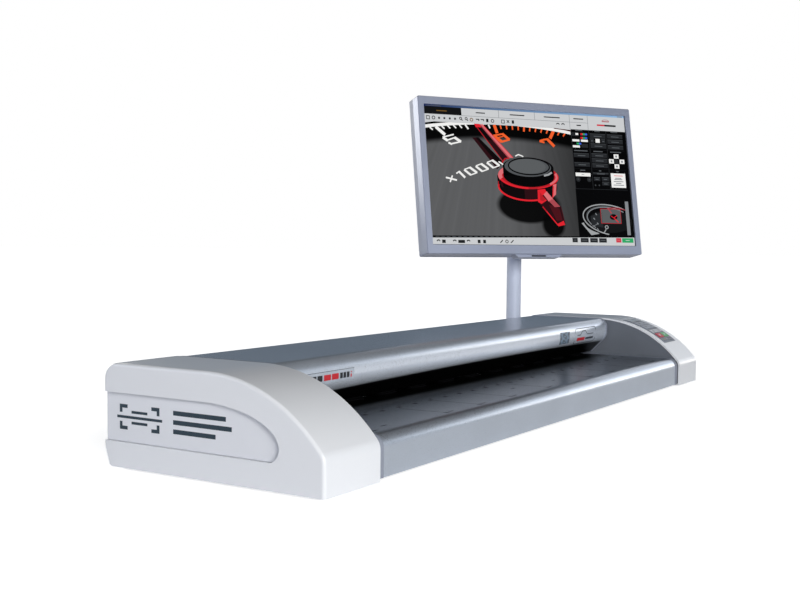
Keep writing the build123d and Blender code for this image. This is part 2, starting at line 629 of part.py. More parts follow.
with BuildPart() as controller_board:
    board_z = FLOOR + 6
    block((90, 300), (-136, -50), (board_z, board_z + 1.6))
    for x in (97, 293):
        for y in (-129, -57):
            with Locations((x, y, FLOOR)):
                Cylinder(3, 6.1, align=(Align.CENTER, Align.CENTER, Align.MIN))
    block((120, 160), (-120, -80), (board_z + 1, board_z + 4))
    block((180, 212), (-112, -92), (board_z + 1, board_z + 4))
    for y in range(-74, -56, 6):
        block((180, 280), (y, y + 3), (board_z + 1, board_z + 8))
    for x in (230, 250, 270):
        with Locations((x, -110, board_z + 1)):
            Cylinder(6, 16, align=(Align.CENTER, Align.CENTER, Align.MIN))
save(controller_board, "controller_board")

with BuildPart() as heatsink:
    sink_z = FLOOR + 10
    block((118, 162), (-122, -78), (sink_z, sink_z + 3))
    for i in range(8):
        x = 118 + 6 * i
        block((x, x + 2), (-122, -78), (sink_z + 3, sink_z + 20))
save(heatsink, "heatsink")

# ---------------------------------------------------------------- lid
with BuildPart() as lid_shell:
    with BuildSketch(side_plane(-LID_X)):
        add(lid_outline())
        add(lid_outline(-LID_WALL), mode=Mode.SUBTRACT)
        with Locations((18.6, LID_BOTTOM - 1)):
            Rectangle(PANEL_BACK - LID_WALL - 18.6, LID_WALL + 1.2, align=Align.MIN, mode=Mode.SUBTRACT)
    extrude(amount=2 * LID_X)
save(lid_shell, "lid_shell")

with BuildPart() as lid_pan:
    block((-LID_X + 4, LID_X - 4), (18.8, PANEL_BACK - LID_WALL), (LID_BOTTOM, LID_BOTTOM + SHEET))
    for y in ROLLER_Y.values():
        for x in TYRE_PLACES:
            half = IDLER_LENGTH / 2 + 1.5
            block((x - half, x + half), (y - 9.8, y + 9.8), (LID_BOTTOM - 1, LID_BOTTOM + 3), Mode.SUBTRACT)
save(lid_pan, "lid_pan")

with BuildPart() as lid_end_plates:
    for low, high in both_ends(LID_X - 3.5, LID_X - 0.5):
        with BuildSketch(side_plane(low)):
            add(lid_outline(-LID_WALL))
            with Locations((18.8, LID_BOTTOM)):
                Rectangle(PANEL_BACK - LID_WALL - 18.8, 4, align=Align.MIN)
            with Locations((PIVOT_Y, PIVOT_Z)):
                Circle(PIN_RADIUS + RUNNING, mode=Mode.SUBTRACT)
            with Locations([(y, IDLER_Z) for y in ROLLER_Y.values()]):
                Circle(IDLER_SHAFT + RUNNING, mode=Mode.SUBTRACT)
        extrude(amount=high - low)
save(lid_end_plates, "lid_end_plates")

with BuildPart() as lid_end_trims:
    for low, high in both_ends(LID_X, LID_END):
        with BuildSketch(side_plane(low)):
            add(lid_outline(TRIM_PROUD))
            with Locations((PIVOT_Y, PIVOT_Z)):
                Circle(PIN_RADIUS + 0.6, mode=Mode.SUBTRACT)
        extrude(amount=high - low)
save(lid_end_trims, "lid_end_trims")

with BuildPart() as pressure_plates:
    for x, y in SENSOR_PLACES:
        half = SENSOR_LENGTH / 2
        block((x - half, x + half), (y - 8, y + 8), (GLASS_TOP + 1.2, LID_BOTTOM))
    bottom_edges = pressure_plates.edges().filter_by(Axis.X).group_by(Axis.Z)[0]
    fillet(bottom_edges, 1.5)
save(pressure_plates, "pressure_plates")


def idler_roller(name):
    """Free-running roller set in the lid: a shaft with a roller over each tyre."""
    with BuildPart() as roller:
        y = ROLLER_Y[name]
        rod(IDLER_SHAFT, (-LID_X + 0.6, LID_X - 0.6), y, IDLER_Z)
        for x in TYRE_PLACES:
            rod(IDLER_RADIUS, (x - IDLER_LENGTH / 2, x + IDLER_LENGTH / 2), y, IDLER_Z)
    return roller


for row in ROLLER_Y:
    save(idler_roller(row), f"{row}_idler")

# ---------------------------------------------------------------- mast
UP = (Align.CENTER, Align.CENTER, Align.MIN)
with BuildPart() as mast_bracket:
    block((MAST_X - 23, CAP_IN - 1.5), (PANEL_BACK, PANEL_BACK + 3), (10, 46))
    block((MAST_X - 12, MAST_X + 12), (PANEL_BACK + 3, MAST_Y), (10, 46))
    with Locations((MAST_X, MAST_Y, MAST_FOOT - 3)):
        Cylinder(MAST_RADIUS + 5, 48, align=UP)
    with Locations((MAST_X, MAST_Y, MAST_FOOT)):
        Cylinder(MAST_RADIUS, 60, align=UP, mode=Mode.SUBTRACT)
save(mast_bracket, "mast_bracket")

with BuildPart() as mast:
    with BuildSketch(Plane.XY.offset(MAST_FOOT)):
        with Locations((MAST_X, MAST_Y)):
            Circle(MAST_RADIUS)
            Circle(INNER_MAST_RADIUS + RUNNING, mode=Mode.SUBTRACT)
    extrude(amount=MAST_TOP - MAST_FOOT)
save(mast, "mast")

KNOB_Z = MAST_TOP - 11
with BuildPart() as clamp_collar:
    with Locations((MAST_X, MAST_Y, MAST_TOP - 20)):
        Cylinder(MAST_RADIUS + 4, 26, align=UP)
        Cylinder(MAST_RADIUS, 20, align=UP, mode=Mode.SUBTRACT)
        Cylinder(INNER_MAST_RADIUS + RUNNING, 30, align=UP, mode=Mode.SUBTRACT)
    block((MAST_X - 7, MAST_X + 7), (MAST_Y + MAST_RADIUS + 1, MAST_Y + 26), (KNOB_Z - 7, KNOB_Z + 7))
    with Locations(Location((MAST_X, MAST_Y + MAST_RADIUS, KNOB_Z), (-90, 0, 0))):
        Cylinder(3 + RUNNING, 20, align=UP, mode=Mode.SUBTRACT)
save(clamp_collar, "clamp_collar")

with BuildPart() as clamp_knob:
    with Locations(Location((MAST_X, MAST_Y + MAST_RADIUS + 0.5, KNOB_Z), (-90, 0, 0))):
        Cylinder(3, 16, align=UP)
    with BuildSketch(Plane.XZ.offset(-MAST_Y - 27)):
        with Locations((MAST_X, KNOB_Z)):
            Circle(10)
            with PolarLocations(10, 6):
                Circle(2.4, mode=Mode.SUBTRACT)
    extrude(amount=-12)
save(clamp_knob, "clamp_knob")

SLEEVE_BOTTOM, SLEEVE_TOP = 346.0, 394.0
with BuildPart() as inner_mast:
    with Locations((MAST_X, MAST_Y, INNER_MAST_FOOT)):
        Cylinder(INNER_MAST_RADIUS, INNER_MAST_TOP - INNER_MAST_FOOT, align=UP)
        Cylinder(INNER_MAST_RADIUS - 2, INNER_MAST_TOP - INNER_MAST_FOOT - 3, align=UP, mode=Mode.SUBTRACT)
    with BuildSketch(Plane.XY.offset(SLEEVE_BOTTOM - 7)):
        with Locations((MAST_X, MAST_Y)):
            Circle(INNER_MAST_RADIUS + 4)
            Circle(INNER_MAST_RADIUS - 1, mode=Mode.SUBTRACT)
    extrude(amount=6.8)
save(inner_mast, "inner_mast")


def mast_plane(across):
    """A sketch plane that holds the mast's axis: its x points ahead of the mast and its y upwards."""
    origin = Vector(MAST_X, MAST_Y, PIVOT_HEIGHT) + ACROSS * across
    return Plane(origin=origin, x_dir=AHEAD, z_dir=-ACROSS)


with BuildPart() as swivel_head:
    with Locations((MAST_X, MAST_Y, SLEEVE_BOTTOM)):
        Cylinder(INNER_MAST_RADIUS + 4.6, SLEEVE_TOP - SLEEVE_BOTTOM, align=UP)
    for across in (-12, 16):
        with BuildSketch(mast_plane(across)):
            with Locations((PIVOT_AHEAD / 2 + 4, 0)):
                Rectangle(PIVOT_AHEAD - 8, 16)
            with Locations((PIVOT_AHEAD, 0)):
                Circle(8)
        extrude(amount=4)
    with BuildSketch(mast_plane(18)):
        with Locations((PIVOT_AHEAD, 0)):
            Circle(3)
    extrude(amount=36)
    with Locations((MAST_X, MAST_Y, SLEEVE_BOTTOM - 1)):
        Cylinder(INNER_MAST_RADIUS + RUNNING, 60, align=UP, mode=Mode.SUBTRACT)
save(swivel_head, "swivel_head")

# ---------------------------------------------------------------- monitor
with BuildPart() as tilt_head:
    with BuildSketch(mast_plane(11.6)):
        with Locations((PIVOT_AHEAD, 0)):
            Circle(6)
    extrude(amount=23.2)
    with BuildSketch(screen_plane(0)):
        Rectangle(23.2, 11)
    extrude(amount=SCREEN_AHEAD - MONITOR_DEPTH + POCKET_DEPTH - VESA_PLATE)
    with BuildSketch(screen_plane(SCREEN_AHEAD - MONITOR_DEPTH + POCKET_DEPTH - VESA_PLATE)):
        RectangleRounded(VESA + 8, VESA + 8, 6)
    extrude(amount=VESA_PLATE)
    with BuildSketch(mast_plane(14)):
        with Locations((PIVOT_AHEAD, 0)):
            Circle(3 + RUNNING)
    extrude(amount=28, mode=Mode.SUBTRACT)
save(tilt_head, "tilt_head")

with BuildPart() as monitor_bezel:
    with BuildSketch(screen_plane(SCREEN_AHEAD)):
        RectangleRounded(MONITOR_W, MONITOR_H, 3)
    extrude(amount=-BEZEL_DEPTH)
    chamfer(monitor_bezel.faces().sort_by(SCREEN_AXIS)[-1].edges(), 1)
    with BuildSketch(screen_plane(SCREEN_AHEAD - BEZEL_DEPTH)):
        with Locations((0, -MONITOR_H / 2)):
            Trapezoid(100, 5.5, 40, align=(Align.CENTER, Align.MIN), rotation=180)
    extrude(amount=BEZEL_DEPTH - 3)
    with BuildSketch(screen_plane(SCREEN_AHEAD - 3)):
        with Locations((0, BUTTON_Y)):
            Rectangle(30.6, 3.2)
    extrude(amount=-9, mode=Mode.SUBTRACT)
    with BuildSketch(screen_plane(SCREEN_AHEAD - MONITOR_WALL)):
        Rectangle(MONITOR_W - 2 * MONITOR_WALL, MONITOR_H - 2 * MONITOR_WALL)
    extrude(amount=-BEZEL_DEPTH, mode=Mode.SUBTRACT)
    with BuildSketch(screen_plane(SCREEN_AHEAD + 1)):
        with Locations((0, WINDOW_UP)):
            Rectangle(WINDOW_W, WINDOW_H)
    extrude(amount=-MONITOR_DEPTH, mode=Mode.SUBTRACT)
save(monitor_bezel, "monitor_bezel")

with BuildPart() as monitor_button:
    with BuildSketch(screen_plane(SCREEN_AHEAD - 2.3)):
        with Locations((0, BUTTON_Y)):
            Rectangle(30, 2.6)
    extrude(amount=-5.5)
save(monitor_button, "monitor_button")

with BuildPart() as screen_panel:
    with BuildSketch(screen_plane(SCREEN_AHEAD - MONITOR_WALL)):
        with Locations((0, WINDOW_UP)):
            Rectangle(PANEL_W, PANEL_H)
    extrude(amount=-PANEL_DEPTH)
save(screen_panel, "screen_panel")

with BuildPart() as monitor_back:
    with BuildSketch(screen_plane(SCREEN_AHEAD - BEZEL_DEPTH)):
        RectangleRounded(MONITOR_W, MONITOR_H, 3)
    extrude(amount=BEZEL_DEPTH - MONITOR_DEPTH)
    chamfer(monitor_back.faces().sort_by(SCREEN_AXIS)[0].edges(), 1)
    with BuildSketch(screen_plane(SCREEN_AHEAD - BEZEL_DEPTH)):
        Rectangle(MONITOR_W - 2 * MONITOR_WALL, MONITOR_H - 2 * MONITOR_WALL)
    extrude(amount=BEZEL_DEPTH - MONITOR_DEPTH + MONITOR_WALL, mode=Mode.SUBTRACT)
    with BuildSketch(screen_plane(SCREEN_AHEAD - MONITOR_DEPTH)):
        Rectangle(POCKET + 2 * MONITOR_WALL, POCKET + 2 * MONITOR_WALL)
    extrude(amount=POCKET_DEPTH + MONITOR_WALL)
    with BuildSketch(screen_plane(SCREEN_AHEAD - MONITOR_DEPTH)):
        Rectangle(POCKET, POCKET)
    extrude(amount=POCKET_DEPTH, mode=Mode.SUBTRACT)
    with BuildSketch(screen_plane(SCREEN_AHEAD - MONITOR_DEPTH - 1)):
        with Locations((0, 105)):
            with GridLocations(8, 0, 24, 1):
                SlotOverall(26, 2.6, rotation=90)
    extrude(amount=MONITOR_WALL + 2, mode=Mode.SUBTRACT)
save(monitor_back, "monitor_back")
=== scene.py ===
"""Looks of the wide-format scanner: materials, printed artwork, screen picture, light and camera.

Everything is in metres in the CAD's frame: +X to the operator's right, +Y to the back, +Z up.
Artwork is drawn in millimetres on the surface that it lies on.
"""

import json
import math

import bmesh
import bpy
from mathutils import Matrix, Vector


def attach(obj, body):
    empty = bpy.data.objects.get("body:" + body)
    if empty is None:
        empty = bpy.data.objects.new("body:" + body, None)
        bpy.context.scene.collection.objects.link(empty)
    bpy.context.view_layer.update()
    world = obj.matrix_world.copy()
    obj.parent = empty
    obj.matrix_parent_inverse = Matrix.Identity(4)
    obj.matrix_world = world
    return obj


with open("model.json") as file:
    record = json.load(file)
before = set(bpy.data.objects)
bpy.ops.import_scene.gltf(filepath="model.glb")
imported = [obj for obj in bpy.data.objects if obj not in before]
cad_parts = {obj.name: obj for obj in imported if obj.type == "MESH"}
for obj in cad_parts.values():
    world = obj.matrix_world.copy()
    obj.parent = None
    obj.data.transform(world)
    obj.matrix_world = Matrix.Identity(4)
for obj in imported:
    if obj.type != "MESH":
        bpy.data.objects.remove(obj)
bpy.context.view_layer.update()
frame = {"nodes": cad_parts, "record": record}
nodes = frame["nodes"]
slot_of = {row["node"]: row["material_slot"] for row in frame["record"]["subparts"]}
MM = 0.001

# ---------------------------------------------------------------- camera, at the photograph's angle
CAMERA_PLACE = Vector((-1.4524, -0.7782, 0.2518))
CAMERA_YAW, CAMERA_PITCH, CAMERA_ROLL = math.radians(32.135), math.radians(2.896), math.radians(0.517)
CAMERA_LENS = 49.8


def add_camera():
    """A camera turned by its yaw, then pitched down, then rolled."""
    heading = Vector((math.cos(CAMERA_YAW), math.sin(CAMERA_YAW), 0))
    forward = heading * math.cos(CAMERA_PITCH) - Vector((0, 0, 1)) * math.sin(CAMERA_PITCH)
    level_right = Vector((math.sin(CAMERA_YAW), -math.cos(CAMERA_YAW), 0))
    level_up = level_right.cross(forward)
    right = level_right * math.cos(CAMERA_ROLL) + level_up * math.sin(CAMERA_ROLL)
    up = right.cross(forward)
    camera = bpy.data.objects.new("camera", bpy.data.cameras.new("camera"))
    camera.matrix_world = Matrix((right, up, -forward)).transposed().to_4x4()
    camera.location = CAMERA_PLACE
    camera.data.lens = CAMERA_LENS
    camera.data.clip_start, camera.data.clip_end = 0.05, 50
    bpy.context.scene.collection.objects.link(camera)
    bpy.context.scene.camera = camera


add_camera()


# ---------------------------------------------------------------- node trees
class Tree:
    """The nodes of a material or a world, with a short call for each kind that is used here."""

    def __init__(self, owner):
        owner.use_nodes = True
        self.nodes, self.links = owner.node_tree.nodes, owner.node_tree.links

    def feed(self, socket, value):
        """Gives a socket a number or colour of its own, or another node's output."""
        if isinstance(value, bpy.types.NodeSocket):
            self.links.new(value, socket)
        else:
            socket.default_value = value

    def place(self):
        """The point on the piece, in metres."""
        return self.nodes.new("ShaderNodeTexCoord").outputs["Object"]

    def axes(self, vector):
        """The X, Y and Z of a vector."""
        split = self.nodes.new("ShaderNodeSeparateXYZ")
        self.feed(split.inputs[0], vector)
        return split.outputs

    def calc(self, operation, *values):
        """The result of a sum with numbers and other nodes' outputs."""
        node = self.nodes.new("ShaderNodeMath")
        node.operation = operation
        for socket, value in zip(node.inputs, values):
            self.feed(socket, value)
        return node.outputs[0]

    def ranged(self, value, start, end, low=0.0, high=1.0, kind="LINEAR"):
        """Turns start into low and end into high, with an even change between them."""
        node = self.nodes.new("ShaderNodeMapRange")
        node.interpolation_type = kind
        settings = {"From Min": start, "From Max": end, "To Min": low, "To Max": high, "Value": value}
        for name, setting in settings.items():
            self.feed(node.inputs[name], setting)
        return node.outputs[0]

    def fade(self, value, start, end, low=0.0, high=1.0):
        """Turns start into low and end into high, with a change that begins and ends softly."""
        return self.ranged(value, start, end, low, high, "SMOOTHSTEP")

    def noise(self, size, detail=3.0, stretch=(1, 1, 1)):
        """Noise with features of about a size in metres, stretched along an axis if wanted."""
        mapping = self.nodes.new("ShaderNodeMapping")
        mapping.inputs["Scale"].default_value = stretch
        self.feed(mapping.inputs["Vector"], self.place())
        texture = self.nodes.new("ShaderNodeTexNoise")
        texture.inputs["Scale"].default_value = 1 / size
        texture.inputs["Detail"].default_value = detail
        self.feed(texture.inputs["Vector"], mapping.outputs[0])
        return texture.outputs["Fac"]

    def ramp(self, value, low, high, ends=(0.0, 1.0)):
        """A colour between two others, by where the value lies between two ends."""
        node = self.nodes.new("ShaderNodeValToRGB")
        for element, end, colour in zip(node.color_ramp.elements, ends, (low, high)):
            element.position = end
            element.color = (*colour, 1)
        self.feed(node.inputs[0], value)
        return node.outputs[0]

    def mix(self, share, below, above, kind="RGBA"):
        """below where the share is 0, above where it is 1."""
        node = self.nodes.new("ShaderNodeMix")
        node.data_type = kind
        for name, value in (("Factor", share), ("A", below), ("B", above)):
            self.feed(node.inputs[name], value)
        return node.outputs["Result"]


class Look(Tree):
    """A material with its shader: a new one, or a copy of another."""

    def __init__(self, name, base=None):
        self.material = base.copy() if base else bpy.data.materials.new(name)
        self.material.name = name
        super().__init__(self.material)
        self.shader = self.nodes["Principled BSDF"]

    def give(self, name, value):
        """Sets one of the shader's inputs."""
        self.feed(self.shader.inputs[name], value)


# ---------------------------------------------------------------- light
def area_light(name, place, target, size, power, colour):
    """A soft rectangular light aimed at a point."""
    data = bpy.data.lights.new(name, "AREA")
    data.shape = "RECTANGLE"
    data.size, data.size_y = size
    data.energy = power
    data.color = colour
    lamp = bpy.data.objects.new(name, data)
    lamp.location = place
    lamp.rotation_euler = (Vector(target) - Vector(place)).to_track_quat("-Z", "Y").to_euler()
    bpy.context.scene.collection.objects.link(lamp)


area_light("key_left", (-2.2, -2.8, 1.2), (0, 0, 0.1), (1.5, 1.5), 107, (0.985, 0.985, 0.965))
area_light("front_wide", (0.2, -3.4, 0.9), (0, 0, 0.05), (4.5, 1.0), 12.5, (0.89, 0.94, 1.0))
area_light("right_strip", (3.4, -0.3, 1.1), (0.2, -0.1, 0.1), (2.4, 0.7), 7, (0.92, 0.95, 1.0))
area_light("right_panel", (3.8, -1.5, 0.7), (0.1, -0.1, 0.1), (1.6, 0.9), 7.5, (0.97, 0.98, 1.0))
area_light("right_low", (3.6, -1.2, 0.3), (0.1, -0.1, 0.1), (1.6, 0.4), 4.5, (1.0, 0.9, 0.78))
area_light("back_left", (-2.4, 2.4, 1.2), (0, 0, 0.2), (1.6, 1.6), 20, (0.8, 0.84, 1.0))
area_light("back", (0.5, 3.2, 1.0), (0, 0, 0.2), (3.0, 1.0), 38, (1.0, 0.98, 0.9))

SKY_COLOUR = (0.136, 0.189, 0.255, 1)
SKY_FULL_BELOW, SKY_DARK_ABOVE = 0.1, 0.45


def studio_world():
    """White behind the scanner; what lights it is a blue glow near the horizon that fades upward."""
    world = bpy.data.worlds.new("studio")
    tree = Tree(world)
    tree.nodes.clear()
    new = tree.nodes.new
    seen, sky, choice, out = [new(f"ShaderNode{kind}") for kind in (
        "Background", "Background", "MixShader", "OutputWorld")]
    seen.inputs["Color"].default_value = (1, 1, 1, 1)
    sky.inputs["Color"].default_value = SKY_COLOUR
    height = tree.axes(new("ShaderNodeTexCoord").outputs["Generated"])[2]
    tree.feed(sky.inputs["Strength"], tree.fade(height, SKY_FULL_BELOW, SKY_DARK_ABOVE, 1.0, 0.0))
    tree.feed(choice.inputs[0], new("ShaderNodeLightPath").outputs["Is Camera Ray"])
    tree.feed(choice.inputs[1], sky.outputs[0])
    tree.feed(choice.inputs[2], seen.outputs[0])
    tree.feed(out.inputs[0], choice.outputs[0])
    bpy.context.scene.world = world


studio_world()

# ---------------------------------------------------------------- materials of the record's slots
NOISE_ENDS = 0.3, 0.7  # noise stays near its middle: hardly anything lies outside these values


def surface(name, colour, rough, metal=0.0, coat=0.0, mottle=(0.08, 0.03), grain=(0.0006, 0.00002),
            stretch=(1, 1, 1), rough_spread=0.04, gleam=0.5):
    """A painted, moulded or metal surface. gleam is the strength of its specular reflection.

    mottle is the size and the share of a slow colour change. grain is the size and height of the fine bump,
    which a polished moulding doesn't have.
    """
    look = Look(name)
    darker = [c * (1 - mottle[1]) for c in colour]
    lighter = [min(1, c * (1 + mottle[1])) for c in colour]
    look.give("Base Color", look.ramp(look.noise(mottle[0], 2.0), darker, lighter, NOISE_ENDS))
    fine = look.noise(grain[0], 3.0, stretch)
    look.give("Roughness", look.ranged(fine, *NOISE_ENDS, rough - rough_spread, rough + rough_spread))
    if grain[1]:
        bump = look.nodes.new("ShaderNodeBump")
        bump.inputs["Distance"].default_value = grain[1]
        look.feed(bump.inputs["Height"], fine)
        look.give("Normal", bump.outputs[0])
    look.give("Metallic", metal)
    look.give("Specular IOR Level", gleam)
    look.give("Coat Weight", coat)
    look.give("Coat Roughness", 0.08)
    return look


POLISHED = {"mottle": (0.3, 0.012), "grain": (0.3, 0), "rough_spread": 0.01}
FINISHES = {
    "cap_white": ((0.82, 0.83, 0.865), 0.28, {"coat": 0.25, **POLISHED}),
    "inlay_white": ((0.79, 0.80, 0.845), 0.30, {"coat": 0.2, **POLISHED}),
    "cheek_slate": ((0.15, 0.165, 0.195), 0.55, {}),
    "silver_sheet": ((0.56, 0.61, 0.69), 0.30, {"metal": 0.7, "coat": 0.1, "grain": (0.0009, 0.000003)}),
    "trim_grey": ((0.26, 0.28, 0.345), 0.46, {}),
    "frame_steel": ((0.55, 0.56, 0.58), 0.38, {"metal": 1.0, "stretch": (1, 0.05, 1)}),
    "shaft_steel": ((0.62, 0.63, 0.64), 0.22, {"metal": 1.0, "stretch": (0.05, 1, 1)}),
    "screw_steel": ((0.65, 0.65, 0.66), 0.24, {"metal": 1.0}),
    "black_sheet": ((0.012, 0.013, 0.015), 0.55, {}),
    "rear_sheet": ((0.20, 0.215, 0.24), 0.50, {"grain": (0.0007, 0.00006)}),
    "foot_rubber": ((0.018, 0.018, 0.019), 0.85, {}),
    "tyre_rubber": ((0.005, 0.005, 0.006), 0.85, {"grain": (0.0004, 0.00002), "gleam": 0.02}),
    "belt_rubber": ((0.014, 0.014, 0.014), 0.7, {}),
    "bush_plastic": ((0.62, 0.58, 0.48), 0.45, {}),
    "pulley_plastic": ((0.035, 0.035, 0.037), 0.45, {}),
    "idler_plastic": ((0.02, 0.021, 0.023), 0.7, {"gleam": 0.1}),
    "plate_white": ((0.80, 0.80, 0.79), 0.6, {}),
    "sensor_black": ((0.016, 0.016, 0.018), 0.5, {}),
    "carrier_steel": ((0.02, 0.021, 0.023), 0.5, {}),
    "supply_metal": ((0.50, 0.51, 0.52), 0.35, {"metal": 1.0}),
    "board_green": ((0.012, 0.10, 0.04), 0.35, {"coat": 0.3}),
    "sink_aluminium": ((0.58, 0.59, 0.60), 0.4, {"metal": 1.0}),
    "connector_black": ((0.014, 0.014, 0.015), 0.45, {}),
    "motor_black": ((0.02, 0.02, 0.022), 0.4, {}),
    "panel_grey": ((0.20, 0.22, 0.27), 0.42, {}),
    "display_dark": ((0.09, 0.11, 0.14), 0.3, {"coat": 0.1, "grain": (0.002, 0.000002)}),
    "key_grey": ((0.44, 0.47, 0.54), 0.45, {}),
    "key_white": ((0.66, 0.67, 0.72), 0.42, {}),
    "key_red": ((0.62, 0.02, 0.05), 0.4, {}),
    "key_green": ((0.10, 0.48, 0.16), 0.4, {}),
    "mast_paint": ((0.56, 0.60, 0.72), 0.62, {"metal": 0.1, "grain": (0.002, 0.000001)}),
    "mast_steel": ((0.55, 0.57, 0.62), 0.25, {"metal": 1.0, "stretch": (1, 1, 0.05)}),
    "bracket_paint": ((0.30, 0.33, 0.42), 0.4, {"metal": 0.3}),
    "knob_black": ((0.015, 0.015, 0.016), 0.5, {}),
    "monitor_silver": ((0.36, 0.39, 0.50), 0.36, {"metal": 0.35}),
    "monitor_rear": ((0.36, 0.39, 0.50), 0.5, {"grain": (0.0008, 0.00005)}),
    "screen_black": ((0.006, 0.006, 0.007), 0.25, {"coat": 0.3, "grain": (0.002, 0.000002)}),
    "button_dark": ((0.02, 0.022, 0.035), 0.3, {}),
}
SLOTS = {
    name: surface(name, colour, rough, **more).material
    for name, (colour, rough, more) in FINISHES.items()
}


def clear_glass():
    """Faintly green float glass with a dusting of fine marks in its roughness."""
    look = Look("glass_clear")
    look.give("Roughness", look.ranged(look.noise(0.01, 6.0), *NOISE_ENDS, 0.01, 0.06))
    look.give("Base Color", (0.86, 0.95, 0.92, 1))
    look.give("Transmission Weight", 0.95)
    look.give("IOR", 1.5)
    return look.material


SLOTS["glass_clear"] = clear_glass()

for node, slot in slot_of.items():
    nodes[node].data.materials.clear()
    nodes[node].data.materials.append(SLOTS[slot])


# ---------------------------------------------------------------- sheets with painted light and painted black shade towards the paper slot
# black of the painted shade towards the paper slot, and the screen's own black
SHADE_AND_SCREEN_BLACK = (0.001, 0.001, 0.001, 1)
BARE_GLEAM, SHADE_GLEAM = 0.5, 0.04
# lid: heights of the painted light low on the nose and of the painted shade below it, and the depth behind
# which the sheet stays silver
NOSE_PAINTED_LIGHT_FROM, NOSE_PAINTED_LIGHT_FULL = 0.111, 0.094
# heights where the painted black shade under the nose begins and is full
NOSE_SHADE_FROM, NOSE_SHADE_FULL = 0.084, 0.078
NOSE_BACK, NOSE_BACK_SOFT = 0.018, 0.001
# lighter colour painted low on the nose for the light that falls there
NOSE_PAINTED_LIGHT = (0.82, 0.87, 0.96, 1)
NOSE_METAL, NOSE_PAINTED_LIGHT_METAL = 0.6, 0.55
# the edge of the painted black shade bows down by a share of the squared distance from a place along the lid
BOW_MIDDLE, BOW_SHARE = 0.08, 0.023
# feed table: height of its top, which painted shade darkens, and depths
TOP_SHADE_FROM, TOP_SHADE_FULL = 0.0485, 0.0508
# painted shade: the table's top is coloured darker than its front
TOP_SHADE = (0.25, 0.28, 0.33, 1)
TABLE_METAL, TOP_SHADE_METAL = 0.75, 0.85
# painted black shade on the table towards the slot, from where it begins to where it is full
TABLE_SHADE_FROM, TABLE_SHADE_FULL = -0.048, -0.004


def shade_sheet(look, colour, metal, shade_share):
    """Joins colour and metal to the shader, with painted shade, matt and black, over them where the share of
    shade is 1.
    """
    unshaded_share = look.fade(shade_share, 0, 1, 1.0, 0.0)
    look.give("Base Color", look.mix(shade_share, colour, SHADE_AND_SCREEN_BLACK))
    look.give("Metallic", look.calc("MULTIPLY", metal, unshaded_share))
    look.give("Specular IOR Level", look.fade(shade_share, 0, 1, BARE_GLEAM, SHADE_GLEAM))


def lid_sheet():
    """The lid's sheet: silver, with painted light low on the nose and painted black shade where it turns in
    to the paper slot.
    """
    look = Look("silver_sheet_lid", SLOTS["silver_sheet"])
    along, depth, height = look.axes(look.place())
    ahead = look.fade(depth, NOSE_BACK + NOSE_BACK_SOFT / 2, NOSE_BACK - NOSE_BACK_SOFT / 2)
    # painted light: the nose is coloured lighter below its highlight
    painted_light_share = look.calc("MULTIPLY", look.fade(height, NOSE_PAINTED_LIGHT_FROM, NOSE_PAINTED_LIGHT_FULL), ahead)
    off_middle = look.calc("SUBTRACT", along, BOW_MIDDLE)
    squared = look.calc("MULTIPLY", off_middle, off_middle)
    edge = look.calc("MULTIPLY_ADD", squared, BOW_SHARE, height)
    # painted black shade where the nose turns in to the paper slot
    painted_shade = look.calc("MULTIPLY", look.fade(edge, NOSE_SHADE_FROM, NOSE_SHADE_FULL), ahead)
    bright = look.mix(painted_light_share, look.nodes["Color Ramp"].outputs[0], NOSE_PAINTED_LIGHT)
    shade_sheet(look, bright, look.fade(painted_light_share, 0, 1, NOSE_METAL, NOSE_PAINTED_LIGHT_METAL), painted_shade)
    return look.material


def table_sheet():
    """The feed table's sheet: silver, with painted shade darkening its top, and painted black shade towards
    the slot.
    """
    look = Look("silver_sheet_table", SLOTS["silver_sheet"])
    depth, height = look.axes(look.place())[1:]
    # painted shade over the table's top
    top = look.fade(height, TOP_SHADE_FROM, TOP_SHADE_FULL)
    # painted black shade towards the paper slot
    painted_shade = look.fade(depth, TABLE_SHADE_FROM, TABLE_SHADE_FULL)
    top_shaded = look.mix(top, look.nodes["Color Ramp"].outputs[0], TOP_SHADE)
    shade_sheet(look, top_shaded, look.fade(top, 0, 1, TABLE_METAL, TOP_SHADE_METAL), painted_shade)
    return look.material


nodes["lid_shell"].data.materials[0] = lid_sheet()
nodes["feed_table"].data.materials[0] = table_sheet()


# ---------------------------------------------------------------- inks and shapes for prints and the screen
def srgb(code):
    """Linear colour of a six-digit hex colour code."""
    parts = [int(code[i:i + 2], 16) / 255 for i in (0, 2, 4)]
    return [c / 12.92 if c < 0.04045 else ((c + 0.055) / 1.055) ** 2.4 for c in parts]


def ink(name, code, rough):
    """Printed ink: a little uneven in colour and gloss."""
    return surface(name, srgb(code), rough, mottle=(0.01, 0.06), grain=(0.0004, 0.000004)).material


# each ink's colour and roughness
INK_LOOKS = {
    "dark": ("15191F", 0.5), "grey": ("3A414C", 0.5), "slate": ("5C6470", 0.5), "red": ("C8202C", 0.5),
    "white": ("E6E8EC", 0.5), "pale": ("B4BBC6", 0.35), "teal": ("1E3340", 0.4), "amber": ("E8A030", 0.5),
    "green": ("40C060", 0.5), "blue": ("7F93A6", 0.5),
}
INKS = {name: ink(f"ink_{name}", code, rough) for name, (code, rough) in INK_LOOKS.items()}


